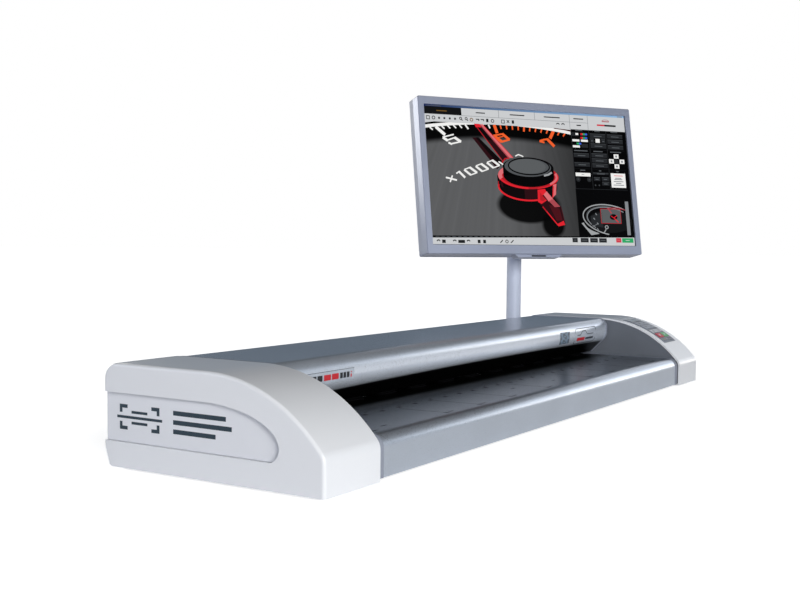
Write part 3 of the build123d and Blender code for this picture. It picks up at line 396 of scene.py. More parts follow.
class Artwork:
    """Flat shapes gathered into one mesh of thin closed solids that lie on a surface.

    place(u, v, h) gives the point h millimetres above the surface at (u, v); one level is LAYER thick.
    """

    LAYER = 0.04

    def __init__(self, place, inks):
        self.form = bmesh.new()
        self.place = place
        self.inks = list(inks.values())
        self.number = {name: i for i, name in enumerate(inks)}

    def solid(self, ink_name, left, right_side, level, closed=False):
        """A thin solid between two lines of as many points each; closed joins its ends to make a ring."""
        low, high = -self.LAYER, self.LAYER * (level + 1)
        corners = [
            [self.form.verts.new(self.place(u, v, h)) for u, v in line]
            for line, h in ((left, high), (right_side, high), (right_side, low), (left, low))
        ]
        count = len(left)
        faces = []
        for i in range(count if closed else count - 1):
            j = (i + 1) % count
            for side in range(4):
                a, b = corners[side], corners[(side + 1) % 4]
                faces.append(self.form.faces.new((a[i], b[i], b[j], a[j])))
        if not closed:
            faces.append(self.form.faces.new([line[0] for line in corners][::-1]))
            faces.append(self.form.faces.new([line[-1] for line in corners]))
        for face in faces:
            face.material_index = self.number[ink_name]

    def rect(self, ink_name, u0, v0, u1, v1, level=0, rows=1):
        """A rectangle, cut across into rows where the surface below it curves."""
        heights = [v0 + (v1 - v0) * i / rows for i in range(rows + 1)]
        self.solid(ink_name, [(u0, v) for v in heights], [(u1, v) for v in heights], level)

    def quad(self, ink_name, corners, level=0):
        """A four-sided shape; the first two corners face the last two."""
        a, b, c, d = corners
        self.solid(ink_name, [a, b], [d, c], level)

    def line(self, ink_name, points, width, level=0, closed=False):
        """A line of constant width with mitred corners."""
        points = [Vector(p) for p in points]
        left, right_side = [], []
        for i, p in enumerate(points):
            before = points[i - 1] if i or closed else p
            after = points[(i + 1) % len(points)] if i + 1 < len(points) or closed else p
            ways = [(b - a).normalized() for a, b in ((before, p), (p, after)) if (b - a).length > 0]
            way = sum(ways, Vector((0, 0))).normalized()
            across = Vector((-way.y, way.x))
            mitre = max(0.5, across.dot(Vector((-ways[0].y, ways[0].x))))
            left.append(p + across * width / 2 / mitre)
            right_side.append(p - across * width / 2 / mitre)
        self.solid(ink_name, left, right_side, level, closed)

    def frame(self, ink_name, u0, v0, u1, v1, width, level=0):
        """The outline of a rectangle."""
        self.line(ink_name, [(u0, v0), (u1, v0), (u1, v1), (u0, v1)], width, level, closed=True)

    def ring(self, ink_name, centre, radii, width, level=0, turn=(0, 360), steps=48):
        """An elliptical ring, or a part of one between two angles."""
        whole = turn[1] - turn[0] == 360
        count = steps if whole else steps + 1
        angles = [math.radians(turn[0] + (turn[1] - turn[0]) * i / steps) for i in range(count)]
        points = [(centre[0] + radii[0] * math.cos(a), centre[1] + radii[1] * math.sin(a)) for a in angles]
        self.line(ink_name, points, width, level, closed=whole)

    def disc(self, ink_name, centre, radii, level=0, steps=24):
        """A filled ellipse."""
        angles = [math.pi * (i + 0.25) / (steps + 0.5) for i in range(steps + 1)]
        upper = [(centre[0] - radii[0] * math.cos(a), centre[1] + radii[1] * math.sin(a)) for a in angles]
        lower = [(u, 2 * centre[1] - v) for u, v in upper]
        self.solid(ink_name, upper, lower, level)

    def finish(self, name, body, matrix=None):
        """Makes the object, which rides on a body."""
        bmesh.ops.recalc_face_normals(self.form, faces=self.form.faces)
        mesh = bpy.data.meshes.new(name)
        self.form.to_mesh(mesh)
        self.form.free()
        for material in self.inks:
            mesh.materials.append(material)
        made = bpy.data.objects.new(name, mesh)
        if matrix is not None:
            made.matrix_world = matrix
        bpy.context.scene.collection.objects.link(made)
        bpy.context.view_layer.update()
        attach(made, body)


# ---------------------------------------------------------------- marks on the feed table
TABLE_TOP = 51.0
TICK_PITCH, TICK_PAIRS = 38.0, 12
# each paper size: where its line starts near the slot, and how far it leans by the table's front
SIZE_LINES = ((-314, 6), (-228, 4), (-137, 2), (-19, 0), (135, -2), (228, -4), (314, -6), (420, -8))
LINE_START, LINE_END = -63, -128
LOOSE_MARKS = ((-426, -86), (-431, -117), (-465, -127), (-60, -92), (60, -100))


def on_table(u, v, h):
    return Vector((u, v, TABLE_TOP + h)) * MM


def table_marks():
    """Paper-size guides: a row of ticks along the slot and a line forward from the edge of each size."""
    art = Artwork(on_table, INKS)
    for i in range(-TICK_PAIRS, TICK_PAIRS + 1):
        x = TICK_PITCH * i
        art.rect("dark", x - 4, -60, x + 4, -54)
        art.rect("dark", x + 12, -50, x + 15, -47)
    for x, lean in SIZE_LINES:
        foot = x + lean
        art.line("dark", [(x, LINE_START), (foot, LINE_END)], 1.6)
        back, tip = LINE_END + 4, LINE_END - 3
        art.quad("dark", [(foot - 4, back), (foot - 0.5, tip), (foot + 0.5, tip), (foot + 4, back)], 1)
        art.rect("dark", foot + 6, LINE_END + 1, foot + 18, LINE_END + 3.5)
    for x, y in LOOSE_MARKS:
        art.rect("dark", x - 6, y - 1.5, x + 6, y + 1.5)
    art.line("dark", [(0, -46), (0, -62)], 2.2)
    art.finish("table_marks", "base")


table_marks()

# ---------------------------------------------------------------- labels on the lid's nose
NOSE_Y, LOWER_RADIUS, LOWER_Z, TOP_RADIUS, TOP_Z = -13.0, 20.0, 93.0, 16.0, 100.8


def on_nose(u, v, h):
    """u is x; v runs up the nose as a length from where its lower curve ends."""
    if v < 0:
        way = v / LOWER_RADIUS
        y, z, reach = NOSE_Y + LOWER_RADIUS, LOWER_Z, LOWER_RADIUS + h
    elif v < TOP_Z - LOWER_Z:
        return Vector((u, NOSE_Y - h, LOWER_Z + v)) * MM
    else:
        way = (v - TOP_Z + LOWER_Z) / TOP_RADIUS
        y, z, reach = NOSE_Y + TOP_RADIUS, TOP_Z, TOP_RADIUS + h
    return Vector((u, y - reach * math.cos(way), z + reach * math.sin(way))) * MM


STRIP_LEFT, STRIP_RIGHT, STRIP_HALF = -470, -338, 7
STRIP_BLOCKS = (
    (-462, -446, "dark"), (-443, -430, "dark"), (-427, -416, "dark"), (-414, -404, "dark"),
    (-401, -387, "red"), (-385, -371, "red"),
    (-368, -362.5, "dark"), (-361, -355.5, "dark"), (-354, -348.5, "dark"),
)
BLOCK_HALF = 3.5


def name_strip(art):
    """A pale strip with coloured blocks in the place of a name."""
    art.rect("pale", STRIP_LEFT, -STRIP_HALF, STRIP_RIGHT, STRIP_HALF, rows=8)
    art.rect("grey", STRIP_LEFT, STRIP_HALF, STRIP_RIGHT, STRIP_HALF + 0.6)
    for u0, u1, colour in STRIP_BLOCKS:
        art.rect(colour, u0, -BLOCK_HALF, u1, BLOCK_HALF, level=1, rows=5)
    art.rect("red", -346, -BLOCK_HALF, -343.5, 0.5, level=1, rows=2)
    art.rect("red", -345.5, 2.0, -343, BLOCK_HALF, level=1)


PIXELS_LEFT, PIXELS_LOW, PIXEL_WIDE, PIXEL_TALL, PIXELS = 278, -10.5, 4.0, 2.1, 10


def pixel_block(art):
    """A square of light and dark pixels that holds no code."""
    for i in range(PIXELS):
        for j in range(PIXELS):
            u, v = PIXELS_LEFT + i * PIXEL_WIDE, PIXELS_LOW + j * PIXEL_TALL
            dark = (i * i + 3 * j + i * j) % 5 < 3 or (i in (0, PIXELS - 1) and j % 2)
            art.rect("slate" if dark else "blue", u, v, u + PIXEL_WIDE, v + PIXEL_TALL)


BADGE_LEFT, BADGE_RIGHT, BADGE_LOW, BADGE_HIGH, BADGE_CORNER = 349, 428, -8, 6, 7


def badge(art):
    """An empty rounded badge with a hill in it, over a red and a grey bar."""
    left, right, low, high = BADGE_LEFT, BADGE_RIGHT, BADGE_LOW, BADGE_HIGH
    rounded = []
    for quarter, (u, v) in enumerate(((right, high), (left, high), (left, low), (right, low))):
        for step in range(7):
            angle = math.radians(90 * quarter + 15 * step)
            rounded.append((u + BADGE_CORNER * math.cos(angle), v + BADGE_CORNER * math.sin(angle)))
    art.line("grey", rounded, 1.4, closed=True)
    art.rect("red", 352, -9, 386, -3, rows=3)
    art.rect("grey", 389, -8, 424, -4, rows=2)
    art.line("grey", [(352, 1.5), (366, 1.5), (374, 8), (388, 8), (396, 1.5), (424, 1.5)], 1.4)


def nose_labels():
    """Everything printed on the nose, all of it generic."""
    art = Artwork(on_nose, INKS)
    name_strip(art)
    pixel_block(art)
    badge(art)
    art.finish("nose_labels", "lid")


nose_labels()


# ---------------------------------------------------------------- pictogram on the left end cap
INLAY_X = 585.0


def on_left_inlay(u, v, h):
    """u runs towards the operator, v up."""
    return Vector((-INLAY_X - h, -u, v)) * MM


def pictogram():
    """A page under a scanning bar, with three lines beside it."""
    art = Artwork(on_left_inlay, INKS)
    for side in (-1, 1):
        for end in (-1, 1):
            corner = (-102 + 28 * side, 58.5 + 12 * end)
            arms = (corner[0] - 10 * side, corner[1]), corner, (corner[0], corner[1] - 7 * end)
            art.line("teal", arms, 4)
    art.rect("teal", -136, 57, -68, 60)
    art.rect("teal", -114, 63, -90, 66)
    art.rect("teal", -114, 51, -90, 54)
    for v, u1 in ((46.5, 8), (56.5, 30), (66.5, 22)):
        art.rect("teal", -52, v, u1, v + 5)
    art.finish("cap_pictogram", "base")


pictogram()

# ---------------------------------------------------------------- signs on the keys and the key panel
SWEEP_Y, SWEEP_Z, SWEEP_RADIUS = 3.0, -79.0, 197.0
PANEL_PROUD, KEY_PROUD, DISPLAY_PROUD = 0.8, 1.8, 1.4


def on_sweep(angle, x, radius):
    """A place function for a point on the right cap's curve: u along X, v up the curve."""
    def place(u, v, h):
        turned = math.radians(angle) - v / radius
        reach = radius + h
        return Vector((x + u, SWEEP_Y - reach * math.sin(turned), SWEEP_Z + reach * math.cos(turned))) * MM
    return place


def key_sign(key, draw, column, angle):
    """One key's sign, which moves with the key."""
    art = Artwork(on_sweep(angle, column, SWEEP_RADIUS + KEY_PROUD), INKS)
    draw(art)
    art.finish(f"{key}_sign", key)


def chevron(art, colour, u, v, du, dv):
    """An arrow head at (u, v) that points along (du, dv)."""
    wings = [(u - du - dv * side, v - dv - du * side) for side in (1.6, -1.6)]
    art.line(colour, [wings[0], (u, v), wings[1]], 0.9)


def menu_sign(art):
    for v in (-2.2, 0, 2.2):
        art.rect("dark", -3.5, v - 0.45, 3.5, v + 0.45)


def up_sign(art):
    chevron(art, "dark", 0, 1.6, 0, 2.2)


def down_sign(art):
    chevron(art, "dark", 0, -1.6, 0, -2.2)


def back_sign(art):
    chevron(art, "dark", -3, 0, -2, 0)
    art.rect("dark", -2.6, -0.45, 3.2, 0.45)


def rewind_sign(art):
    for u in (-3, 0.5):
        chevron(art, "grey", u, 0, -1.8, 0)


def forward_sign(art):
    for u in (3, -0.5):
        chevron(art, "grey", u, 0, 1.8, 0)


def stop_sign(art):
    art.rect("white", -2.4, -2.4, 2.4, 2.4)


def start_sign(art):
    art.quad("white", [(-2.2, -2.8), (2.8, -0.15), (2.8, 0.15), (-2.2, 2.8)])


# each row of keys: its angle back from the top, and its left and right key
KEY_ROWS = (
    (19.4, ("menu_key", menu_sign), ("up_key", up_sign)),
    (23.6, ("back_key", back_sign), ("down_key", down_sign)),
    (28.2, ("rewind_key", rewind_sign), ("forward_key", forward_sign)),
    (32.2, ("stop_key", stop_sign), ("start_key", start_sign)),
)
LEFT_COLUMN, RIGHT_COLUMN = 523, 548
for angle, left_key, right_key in KEY_ROWS:
    key_sign(*left_key, LEFT_COLUMN, angle)
    key_sign(*right_key, RIGHT_COLUMN, angle)

LIGHTS_ANGLE, DISPLAY_ANGLE, PANEL_MIDDLE = 35.9, 14.55, 535.5


def panel_lights():
    """Status lights and small symbols below the keys, and bars in the display."""
    art = Artwork(on_sweep(LIGHTS_ANGLE, PANEL_MIDDLE, SWEEP_RADIUS + PANEL_PROUD), INKS)
    for u, colour in ((-20, "green"), (-10, "amber"), (0, "white")):
        art.disc(colour, (u, 1.0), (1.3, 1.3), level=3)
        art.rect("dark", u - 2, -2.8, u + 2, -1.9)
    art.frame("dark", 9, -3, 24, 3, 0.7)
    art.finish("panel_lights", "base")
    art = Artwork(on_sweep(DISPLAY_ANGLE, PANEL_MIDDLE, SWEEP_RADIUS + DISPLAY_PROUD), INKS)
    for i in range(6):
        art.rect("blue", -22 + 3 * i, -3.5, -20 + 3 * i, -2.5 + 0.9 * i)
    art.frame("blue", 2, -3.5, 22, 3.5, 0.6)
    art.rect("blue", 4, -1.5, 15, 1.5)
    art.finish("display_bars", "base")


panel_lights()

# ---------------------------------------------------------------- picture on the monitor
TURN, TILT = math.radians(34.8), math.radians(10.5)
TILT_PIN, PANEL_AHEAD = Vector((458.732, 151.471, 369.1)), 43.0
across = Vector((math.cos(TURN), -math.sin(TURN), 0))
ahead = Vector((-math.sin(TURN), -math.cos(TURN), 0))
facing = ahead * math.cos(TILT) + Vector((0, 0, 1)) * math.sin(TILT)
screen_matrix = Matrix((across, facing.cross(across), facing)).transposed().to_4x4()
screen_matrix.translation = (TILT_PIN + facing * PANEL_AHEAD) * MM
# edges of the picture, of the dial's view and of the column of controls beside it
LEFT, RIGHT, BOTTOM, TOP = -214.3, 214.3, -126.8, 130
COLUMN, TOOLBAR, VIEW_LOW, TABS_LOW, TITLE_LOW = 91, 98.5, -111, 112.5, 126.5
# lower edge of the dial's white arc: its highest point and how fast it falls away from there
ARC_TOP, ARC_MIDDLE, ARC_BEND = 98.6, -56.7, 0.000516
PIXEL, FLICKER = 0.0008, 0.04


def flat(u, v, h):
    return Vector((u, v, h)) * MM


def lit_film(look, colour):
    """The screen's own surface: almost black, with little reflection, and too dim to light anything else."""
    look.material.cycles.emission_sampling = "NONE"
    look.give("Emission Color", colour)
    look.give("Emission Strength", 1.0)
    look.give("Base Color", SHADE_AND_SCREEN_BLACK)
    look.give("Roughness", 0.3)
    look.give("Specular IOR Level", 0.03)
    return look.material


def lit(name, code):
    """A lit area of the screen, whose brightness varies slightly at the scale of its pixels."""
    look = Look(name)
    low, high = [[c * share for c in srgb(code)] for share in (1 - FLICKER, 1 + FLICKER)]
    return lit_film(look, look.ramp(look.noise(PIXEL, 1.0), low, high))


def lit_gradient(name, left_code, right_code):
    """A lit bar that changes from one colour to another along the screen."""
    look = Look(name)
    along = look.ranged(look.axes(look.place())[0], -0.2, 0.2)
    return lit_film(look, look.ramp(along, srgb(left_code), srgb(right_code)))


DIAL_LIGHT = (0.106, 0.108, 0.112)
DIAL_EDGE_FROM, DIAL_EDGE_FULL, DIAL_EDGE_LIGHT = 65.5, 79.0, 0.005
RAYS_U, RAYS_V, RAY_COUNT = -30, 420, 34
# shadows of the hub and the tail: centre, radii and the softness of the edge
DIAL_SHADOWS = (((-12, -52), (66, 34), 0.16), ((37, -88), (24, 24), 0.3))
SHADOW_LIGHT = 0.02


def shadow(look, point, centre, radii, softness):
    """Dark inside an ellipse and 1 outside it."""
    calc = look.calc
    across, along = [
        calc("POWER", calc("DIVIDE", calc("SUBTRACT", value, middle), radius), 2)
        for value, middle, radius in zip(point, centre, radii)
    ]
    away = calc("SUBTRACT", calc("ADD", across, along), 1 - softness)
    return calc("MINIMUM", calc("MAXIMUM", calc("DIVIDE", away, 2 * softness), SHADOW_LIGHT), 1.0)


def rays(look, u, v):
    """Faint rays that fan out from a point above the dial: noise along the bearing from it."""
    bearing = look.calc("DIVIDE", look.calc("SUBTRACT", u, RAYS_U), look.calc("SUBTRACT", RAYS_V, v))
    texture = look.nodes.new("ShaderNodeTexNoise")
    texture.noise_dimensions = "1D"
    texture.inputs["Scale"].default_value = 1.0
    texture.inputs["Detail"].default_value = 2.0
    look.feed(texture.inputs["W"], look.calc("MULTIPLY", bearing, RAY_COUNT))
    return look.calc("MULTIPLY_ADD", texture.outputs["Fac"], 0.3, 0.85)


def dial_face():
    """Lit dial face: grey with faint rays, black beyond the scale and in the shadows of hub and tail."""
    look = Look("lit_dial")
    calc = look.calc
    x, y = look.axes(look.place())[:2]
    u, v = calc("DIVIDE", x, MM), calc("DIVIDE", y, MM)
    sag = calc("MULTIPLY", calc("POWER", calc("SUBTRACT", u, ARC_MIDDLE), 2), ARC_BEND)
    inside = look.fade(calc("ADD", v, sag), DIAL_EDGE_FROM, DIAL_EDGE_FULL, 1.0, DIAL_EDGE_LIGHT)
    to_the_right = calc("SUBTRACT", 0.74, calc("MULTIPLY", u, 0.0046))
    dimmed = calc("MINIMUM", calc("MAXIMUM", to_the_right, 0.3), 1.0)
    light = calc("MULTIPLY", calc("MULTIPLY", rays(look, u, v), inside), dimmed)
    for centre, radii, softness in DIAL_SHADOWS:
        light = calc("MULTIPLY", light, shadow(look, (u, v), centre, radii, softness))
    scaled = look.nodes.new("ShaderNodeVectorMath")
    scaled.operation = "SCALE"
    scaled.inputs[0].default_value = DIAL_LIGHT
    look.feed(scaled.inputs["Scale"], light)
    return lit_film(look, scaled.outputs[0])


LIT_CODES = {
    "paper": "CBCDCF", "white": "EFEFED", "line": "83878B", "black": "020203", "coal": "111214",
    "button": "26282B", "edge": "3E4144", "icon": "1E2022", "text": "585C60", "orange": "F2602C",
    "red": "E0222E", "crimson": "B41C26", "rose": "DC6E74", "dusk": "A84850", "wine": "4A1018",
    "maroon": "2A0C12", "soot": "0C0507", "cap": "5A5D5F", "rim": "505356", "gleam": "A0A3A5",
    "green": "2FA564", "stop": "CE3E4C", "blue": "3B62D8", "amber": "7A5A28",
}
LIT = {"title": lit_gradient("lit_title", "1B2A5C", "8DB4DC"), "dial": dial_face()}
for name, code in LIT_CODES.items():
    LIT[name] = lit(f"lit_{name}", code)


def arc_height(u):
    """Height of the lower edge of the dial's white arc across the picture."""
    return ARC_TOP - ARC_BEND * (u - ARC_MIDDLE) ** 2


def strokes(art, colour, corner, lines, level=1):
    """Straight strokes (u0, v0, u1, v1, width) measured from a corner."""
    corner = Vector(corner)
    for u0, v0, u1, v1, width in lines:
        art.line(colour, [corner + Vector((u0, v0)), corner + Vector((u1, v1))], width, level)


# each digit lies slanted on the dial; strokes run from its left corner
FIVE = (
    (0, 0, 23, 6.3, 2.6), (0.5, -0.5, 10, -6, 4.8), (8, -5.6, 25, 0.6, 2.6), (24, 0.6, 36.5, -7, 5.2),
    (37, -6.4, 15, -12, 2.8), (11, -9.4, 18, -12.4, 3.6),
)
SIX = (
    (0, 0, 20.5, 4, 3.2), (19.5, 4, 33.5, -6.6, 5.0), (34, -6, 15.5, -11.4, 3.6),
    (16.5, -10.8, 1.5, -0.4, 6.0), (8.5, -3.6, 21, -0.6, 1.8),
)
SEVEN = ((0, 0, 10.5, -2, 3.4), (1, 0.8, 11, 3.8, 3.4), (10, 3.4, 18, 5, 3.2), (17, 5, 31.5, -8.8, 5.6))
ONE = ((0, 0, 7, 4.4, 2.6), (5.6, 4.2, 17.4, -7, 4.2))
ZERO = (
    (0, 0, 12.5, -9.2, 4.0), (11.5, -9.8, 26.5, -4.4, 2.2), (11.6, 4.8, 25.6, -4.6, 4.4),
    (0.4, 0.4, 12.6, 5, 2.2),
)
TIMES = ((0, 0, 22, -4.5, 3.2), (8, -8.5, 13.5, 4, 2.6))


# ticks are counted from six; what isn't listed is a short one
TICK_LEFT, TICK_RIGHT, TICK_ZERO_U = 12.0, 12.6, -73.5
TICKS_HIDDEN = (-4, -3)
SHORT_TICK = (7.4, 2.8)
LONG_TICKS = {-10: (23, 6), -5: (10, 3.4), 0: (16.5, 6), 5: (9, 3.8), 10: (17, 6.4)}
TICKS_MEET = Vector((-28, -45))
ARC_WIDTH, ARC_LIMIT = 6, 98.4


def scale(art):
    """The white arc at the dial's edge, with its ticks: white below six, orange from there on."""
    for first, last in ((-215, -88), (-24, 92)):
        under = [(u, arc_height(u)) for u in range(first, last, 6)]
        over = [(u, min(ARC_LIMIT, v + ARC_WIDTH)) for u, v in under]
        art.solid("white", over, under, 1)
    art.quad("paper", [(LEFT, 95.6), (-197, 98.3), (-197, TOOLBAR), (LEFT, TOOLBAR)], 2)
    art.quad("paper", [(60, ARC_LIMIT), (COLUMN, 96.6), (COLUMN, TOOLBAR), (60, TOOLBAR)], 2)
    art.line("wine", [(54, 98.2), (COLUMN, 95.2)], 1.6, 3)
    for i in range(-11, 13):
        if i in TICKS_HIDDEN:
            continue
        u = TICK_ZERO_U + i * (TICK_RIGHT if i > 0 else TICK_LEFT)
        start = Vector((u, min(ARC_LIMIT, arc_height(u))))
        way = (TICKS_MEET - start).normalized()
        length, width = LONG_TICKS.get(i, SHORT_TICK)
        art.line("orange" if i >= 0 else "white", [start, start + way * length], width, 1)


def dial(art):
    """Rev counter seen close up: scale, numbers, needle and hub."""
    art.rect("dial", LEFT, VIEW_LOW, COLUMN, TOOLBAR)
    scale(art)
    strokes(art, "white", (-181, 69.8), FIVE)
    strokes(art, "orange", (-77, 77.8), SIX)
    strokes(art, "orange", (20.5, 71.5), SEVEN)
    strokes(art, "white", (-180, -4.5), TIMES)
    strokes(art, "white", (-158.5, 3.3), ONE)
    art.quad("soot", [(-121, 72), (-74, 14), (-60, 28), (-108, 73)], 1)
    art.quad("maroon", [(-121, 72), (-74, 14), (-68, 20), (-114, 72.5)], 2)
    for corner in ((-142, 11), (-118, 18.5), (-94.5, 26)):
        strokes(art, "white", corner, ZERO, 3)
    art.line("white", [(-70, 29), (-60, 23)], 2.6, 3)
    art.line("white", [(-34, 40.5), (-27, 43.8), (-17, 40.4)], 2.2, 3)
    needle(art)
    hub(art)
    tail(art)


def needle(art):
    """Translucent red needle: a lit upper face, a lit lower edge and dark red between."""
    art.quad("soot", [(-115, 98), (-61, 29), (-49, 38), (-104, 98)], 4)
    art.quad("maroon", [(-92, 69), (-61, 29), (-48, 37), (-76, 68)], 5)
    art.quad("rose", [(-105, 98), (-50, 37), (-39, 37), (-98, 98)], 6)
    art.quad("dusk", [(-105, 98), (-50, 37), (-46.5, 37), (-102.5, 98)], 7)
    art.line("crimson", [(-114.6, 98), (-61, 30)], 1.3, 6)
    art.line("red", [(-39, 37.4), (-98, 98)], 0.9, 7)
    art.quad("red", [(-115, 98.3), (-112, 92), (-101, 92), (-104, 98.3)], 8)
    art.line("crimson", [(-63, 27), (-56, 35), (-47, 36)], 2.4, 8)


def hub(art):
    """Translucent red ring under a black cap with a grey lid."""
    art.disc("soot", (-12, -17), (63, 27.5), 1)
    art.rect("soot", -75, -17, 51, 3, 1)
    art.quad("maroon", [(-20, -42), (-20, -20), (8, -20), (8, -44)], 2)
    art.ring("red", (-12, -17), (61.6, 26), 3.2, 3, turn=(172, 288))
    art.line("crimson", [(-73.6, -8), (-73.4, -20)], 1.6, 3)
    art.quad("maroon", [(-69, -16), (-69, -8), (-64, -12), (-64, -20)], 3)
    art.quad("soot", [(24, -19), (40, -18), (40, -38), (28, -34)], 3)
    art.quad("rose", [(42, -12), (50, -9), (47, -30), (38.5, -37)], 4)
    art.line("red", [(43, -14), (39.5, -36)], 2.0, 5)
    art.disc("crimson", (-9, 3), (64.5, 24.5), 6)
    art.ring("rose", (-9, 3), (60, 21), 8, 7, turn=(148, 196), steps=16)
    art.ring("red", (-9, 3), (61.8, 22.8), 3.4, 7, turn=(196, 268), steps=24)
    art.ring("rose", (-9, 3), (60.6, 21.6), 5.4, 7, turn=(-42, 18), steps=20)
    art.ring("red", (-9, 3), (63.2, 23.4), 1.8, 8, turn=(-74, 14), steps=24)
    art.disc("black", (-8, 3), (54, 20.5), 9)
    art.rect("black", -62, 3, 46, 20, 9)
    art.disc("black", (-8, 20), (54, 19), 10)
    art.disc("rim", (-9, 20.5), (49.5, 18.4), 11)
    art.ring("black", (-6.5, 22), (43.6, 15.8), 2.6, 12)
    art.disc("cap", (-9.5, 22), (38.6, 13.8), 13)
    art.line("gleam", [(24, 5.2), (34, 7.6), (41.5, 12)], 3.6, 14)


def tail(art):
    """The needle's short end, which points at the viewer."""
    art.quad("maroon", [(10, -48), (46, -89), (61, -86), (26, -34)], 5)
    art.quad("maroon", [(26, -36), (56, -53), (61, -84), (46, -70)], 6)
    art.quad("wine", [(30, -50), (52, -57), (57, -80), (44, -80)], 7)
    art.quad("red", [(8, -22), (7, -45), (14, -49), (26, -42)], 7)
    art.quad("crimson", [(12, -26), (12, -42), (18, -44), (24, -40)], 8)
    art.quad("red", [(8, -22), (24, -20), (28, -30), (10, -34)], 8)
    art.quad("rose", [(20, -31), (27, -24.5), (40, -39), (30, -44)], 9)
    art.quad("dusk", [(30, -43), (39, -38), (54, -53.5), (42, -54.5)], 9)
    art.line("crimson", [(16, -54), (46, -88.6)], 2.2, 8)
    art.line("red", [(24, -63), (46, -88.6)], 2.0, 9)
    art.quad("red", [(44, -87), (47, -91), (61.5, -88), (59, -80)], 10)
    art.line("wine", [(56, -55), (61.5, -84)], 1.2, 8)


def bent_ring(art, colour, centre, radii, width, level, turn):
    """A part of a ring that sinks to the right."""
    points = []
    for angle in range(turn[0], turn[1] + 1, 6):
        u = radii[0] * math.cos(math.radians(angle))
        v = radii[1] * math.sin(math.radians(angle)) - 0.12 * u
        points.append((centre[0] + u, centre[1] + v))
    art.line(colour, points, width, level)


def thumbnail(art):
    """Small view of the whole instrument, with a red frame round the part that is shown."""
    art.quad("gleam", [(98, -84), (118, -107), (136, -104), (106, -82)], 1)
    art.disc("black", (160, -80), (57, 25), 2)
    art.disc("coal", (163, -80), (50, 22), 3)
    art.quad("button", [(120, -70), (120, -88), (146, -92), (146, -62)], 4)
    bent_ring(art, "gleam", (164, -77), (61, 29), 2.2, 4, (60, 268))
    bent_ring(art, "line", (164, -78), (52, 25), 1.8, 4, (54, 232))
    bent_ring(art, "cap", (166, -78), (56, 27), 1.0, 4, (90, 200))
    for u, v in ((132, -66), (127, -75), (134, -84), (133, -95)):
        art.line("line", [(u - 1.4, v + 1.4), (u + 1.6, v - 1.6)], 2.0, 5)
    art.line("line", [(122, -90), (134, -85)], 0.9, 5)
    art.line("gleam", [(146, -103), (152, -95)], 1.8, 5)
    art.ring("gleam", (153.5, -91), (3.4, 3), 1.6, 5, steps=12)
    art.rect("cap", 143, -83, 187.5, -56, 4)
    art.frame("crimson", 142.6, -83.4, 187.6, -55.6, 1.0, 6)
    art.line("dusk", [(158, -54), (184, -53), (199, -57)], 1.6, 6)
    art.line("dusk", [(160, -55), (167, -64)], 2.6, 7)
    art.disc("black", (171, -71), (8.5, 5.6), 7)
    art.line("red", [(165, -69), (171, -72.6), (179, -68)], 1.4, 8)
    art.line("red", [(172, -73), (181, -81)], 2.0, 8)
    art.rect("line", 199.6, -106, 207, -40, 7)


def dark_buttons(art, u0, u1, heights, tall):
    """Dark buttons with a lighter top edge and a faint label bar."""
    for v in heights:
        art.rect("button", u0, v - tall / 2, u1, v + tall / 2, 2)
        art.rect("edge", u0, v + tall / 2 - 1, u1, v + tall / 2, 3)
        art.rect("text", u0 + (u1 - u0) * 0.25, v - 1.2, u1 - (u1 - u0) * 0.25, v + 0.2, 3)


def colour_switches(art):
    """The first group of controls: two switches over three colour choices."""
    for u, v in ((99.5, 89), (119.5, 89), (119.5, 67)):
        art.rect("button", u - 7.5, v - 3.6, u + 7.5, v + 3.6, 1)
    art.rect("white", 101, 87.6, 107, 91.4, 3)
    for u0, v0, blocks in ((112, 88, 3), (111.5, 80.6, 3), (102, 69, 2)):
        for i, colour in enumerate(("red", "green", "blue")[3 - blocks:]):
            art.rect(colour, u0 + 5 * i, v0, u0 + 5 * i + 5, v0 + 3.4, 3)
    for u0, v0 in ((93, 74.8), (112, 74.8), (93, 63)):
        art.rect("white", u0, v0, u0 + 15.5, v0 + 4.2, 2)


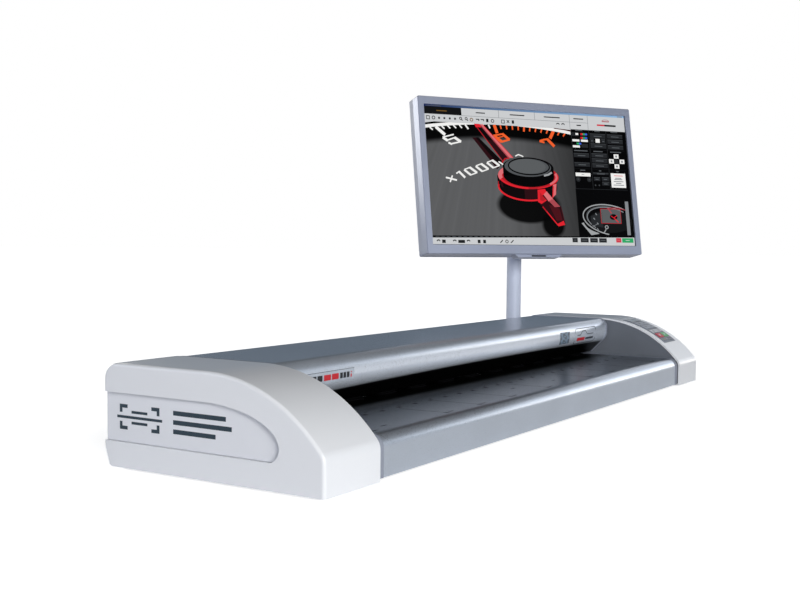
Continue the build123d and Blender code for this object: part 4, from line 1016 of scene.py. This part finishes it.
def settings_column(art):
    """Nine groups of controls in the black column."""
    art.rect("black", COLUMN, VIEW_LOW, RIGHT, TOOLBAR)
    art.rect("button", COLUMN, -17.9, 209, -17.1, 1)
    for v in (60, 22):
        art.rect("coal", COLUMN, v - 0.5, 209, v + 0.5, 1)
    for u in (91.6, 130.8, 170):
        art.rect("button", u - 0.5, -18, u + 0.5, 98, 1)
    for v, bars in ((96.8, ((101, 117), (144, 156), (181, 196))), (57, ((95, 125), (138, 159), (176, 201))),
                    (18.8, ((105, 116), (147, 152), (186, 192)))):
        for u0, u1 in bars:
            art.rect("text", u0, v - 0.9, u1, v + 0.9, 1)
    colour_switches(art)
    dark_buttons(art, 133, 168, (87.5, 68), 9)
    art.rect("white", 145, 74.4, 154.4, 82, 2)
    dark_buttons(art, 133, 141, (78,), 8)
    dark_buttons(art, 158, 167, (78,), 8)
    dark_buttons(art, 172, 207, (88, 77.6, 66.4), 8)
    dark_buttons(art, 93.5, 127.5, (48, 30), 8)
    dark_buttons(art, 133, 168, (49, 39, 29), 8)
    for u, v in ((189, 48.8), (177.4, 38.8), (201.4, 38.8), (189, 29)):
        art.rect("white", u - 5.4, v - 4.2, u + 5.4, v + 4.2, 2)
        art.rect("line", u - 2, v - 2, u + 2, v + 2, 3)
    art.rect("button", 185, 34.6, 193.4, 43, 2)
    art.rect("white", 94, 7, 127, 13.8, 2)
    art.rect("line", 107, 10, 113, 11, 3)
    for u in (99, 123.4):
        art.disc("button", (u, 1), (4.8, 4.8), 2)
        art.disc("edge", (u, 1), (1.6, 1.6), 3)
    dark_buttons(art, 133, 168, (13.4,), 3.6)
    dark_buttons(art, 134, 148, (2.6,), 7)
    dark_buttons(art, 152, 168, (3, -6), 7)
    for u in (136.6, 145):
        art.disc("edge", (u, -9.6), (1.6, 1.6), 2)
    art.rect("white", 173, -13, 206, 15, 2)
    art.rect("rose", 180, 9.6, 200, 11, 3)
    for v, half in ((5.5, 7), (3, 9), (-1, 11), (-4.6, 6), (-8, 12)):
        art.rect("line", 189.5 - half, v - 0.8, 189.5 + half, v + 0.8, 3)


def bars_and_icons(art):
    """Window bars: title, tabs, tool icons, status line and the bottom bar's buttons."""
    art.rect("title", LEFT, TITLE_LOW, RIGHT, TOP)
    art.rect("line", 199, 127.4, 210, 129.2, 1)
    art.rect("text", -211, 127.4, -180, 128.6, 1)
    art.rect("paper", LEFT, TOOLBAR, RIGHT, TITLE_LOW)
    art.rect("coal", LEFT, TABS_LOW, -139.6, TITLE_LOW, 1)
    art.rect("amber", -190, 118.4, -169, 120, 2)
    for u0, u1 in ((-110, -91), (-39, -8), (34, 69), (99, 121)):
        art.rect("icon", u0, 118.4, u1, 120.4, 1)
    for u, low in ((-62.7, TABS_LOW), (13.8, TABS_LOW), (90, TOOLBAR), (130.5, TOOLBAR)):
        art.rect("line", u - 0.4, low, u + 0.4, TITLE_LOW, 1)
    art.rect("line", -139.6, 111.9, 130.5, 112.6, 1)
    art.rect("icon", 105, 105.6, 115, 107.8, 1)
    art.ring("dusk", (171, 117.6), (8, 3), 0.9, 1, turn=(0, 180))
    art.rect("dusk", 163, 116.2, 179, 118, 1)
    art.rect("stop", 151, 107.8, 168, 111, 1)
    art.rect("icon", 168, 107.6, 194, 111, 1)
    tool_icons(art)
    art.quad("black", [(LEFT, -115), (LEFT, VIEW_LOW), (COLUMN, -109.6), (COLUMN, -113.4)], 2)
    for i in range(19):
        art.rect("text", -208 + 11 * i, -113, -201 + 11 * i, -112, 3)
    art.quad("paper", [(LEFT, BOTTOM), (LEFT, -115), (RIGHT, -110.6), (RIGHT, BOTTOM)], 3)
    for u0, u1 in ((75, 86.5), (93, 110.5), (114, 131), (134, 151)):
        art.rect("button", u0, -121, u1, -112.6, 4)
        art.rect("text", u0 + 3, -117.4, u1 - 3, -116.2, 5)
    art.rect("stop", 172.4, -120.6, 184, -112, 4)
    art.rect("green", 186, -120.8, 211.6, -112, 4)
    art.rect("paper", 194, -117, 203, -115.8, 5)
    art.rect("rose", 175, -117, 181, -115.8, 5)


def tool_icons(art):
    """Small dark tool symbols: circles, squares, pages, magnifiers and arrows."""
    for u in (-207.6, -54.6):
        art.frame("icon", u - 3, 102.5, u + 3, 108.5, 1.2, 1)
    for u in (-196.5, -119.8, -76.3):
        art.ring("amber" if u == -119.8 else "icon", (u, 105.6), (2.8, 2.8), 1.4, 1, steps=16)
    for u in (-185.4, -174.8, -163.9, -153.3):
        art.rect("icon", u - 1.8, 103.8, u + 1.8, 107.4, 1)
    for u in (-141.9, -130.6):
        art.ring("icon", (u, 107), (2.2, 2.2), 1.4, 1, steps=12)
        art.line("icon", [(u + 1.4, 105.4), (u + 3.6, 103)], 1.6, 1)
    for u in (-107.7, -97.8):
        art.line("icon", [(u - 3, 107), (u + 3, 107), (u + 3, 104)], 1.8, 1)
    for u in (-87.2, -33.4):
        art.rect("icon", u - 2.4, 102.6, u + 2.4, 109, 1)
    art.line("icon", [(-46.4, 103.6), (-41.2, 108.8)], 1.4, 1)
    art.line("icon", [(-46.4, 108.8), (-41.2, 103.6)], 1.4, 2)
    for u in (63.7, 75):
        art.ring("icon", (u, 105), (3.4, 3.4), 1.8, 1, turn=(20, 160), steps=10)
    for u in (-203, -171, -143.5):
        art.ring("icon", (u, -122.4), (3.2, 3.2), 2.0, 4, turn=(20, 160), steps=10)
    art.rect("icon", -196, -124.6, -189, -118.6, 4)
    art.rect("icon", -164, -124.4, -150.6, -118.8, 4)
    for u in (-122, -111):
        art.rect("icon", u - 2.8, -124.4, u + 2.8, -118.2, 4)
    for u in (-76, -54):
        art.line("icon", [(u - 2.8, -123.4), (u + 2.8, -118.2)], 1.8, 4)
    art.ring("icon", (-65, -120.8), (2.7, 2.7), 1.2, 4, steps=14)


def screen_picture():
    """The whole lit picture, which turns and tilts with the monitor."""
    art = Artwork(flat, LIT)
    dial(art)
    settings_column(art)
    thumbnail(art)
    bars_and_icons(art)
    art.finish("screen_picture", "monitor", screen_matrix)


screen_picture()


# ---------------------------------------------------------------- floor
FLOOR_HALF, FLOOR_DROP = 30, 0.0005
FLOOR_NEAR, FLOOR_FAR = 0.75, 1.1
GLOW_FROM, GLOW_FULL = 0.9, 3.0
FLOOR_REFLECTED = 0.22


def floor_paper():
    """Pale paper: it glows more for the camera far away, to meet the white wall, and less in reflections."""
    look = surface("floor_paper", (0.86, 0.86, 0.87), 0.8, grain=(0.004, 0.00002))
    look.material.cycles.emission_sampling = "NONE"
    distance = look.nodes.new("ShaderNodeVectorMath")
    distance.operation = "LENGTH"
    look.feed(distance.inputs[0], look.place())
    glow = look.fade(distance.outputs["Value"], GLOW_FROM, GLOW_FULL, FLOOR_NEAR, FLOOR_FAR)
    path = look.nodes.new("ShaderNodeLightPath").outputs
    reflected = look.calc("MULTIPLY", path["Is Glossy Ray"], FLOOR_REFLECTED)
    look.give("Emission Strength", look.mix(path["Is Camera Ray"], reflected, glow, "FLOAT"))
    look.give("Emission Color", (1, 1, 1, 1))
    return look.material


def floor():
    """The plain sheet that the scanner stands on."""
    mesh = bpy.data.meshes.new("floor")
    form = bmesh.new()
    bmesh.ops.create_grid(form, x_segments=8, y_segments=8, size=FLOOR_HALF)
    form.to_mesh(mesh)
    form.free()
    mesh.materials.append(floor_paper())
    made = bpy.data.objects.new("floor", mesh)
    made.location.z = -FLOOR_DROP
    bpy.context.scene.collection.objects.link(made)


floor()

bpy.context.scene.view_settings.view_transform = "Standard"
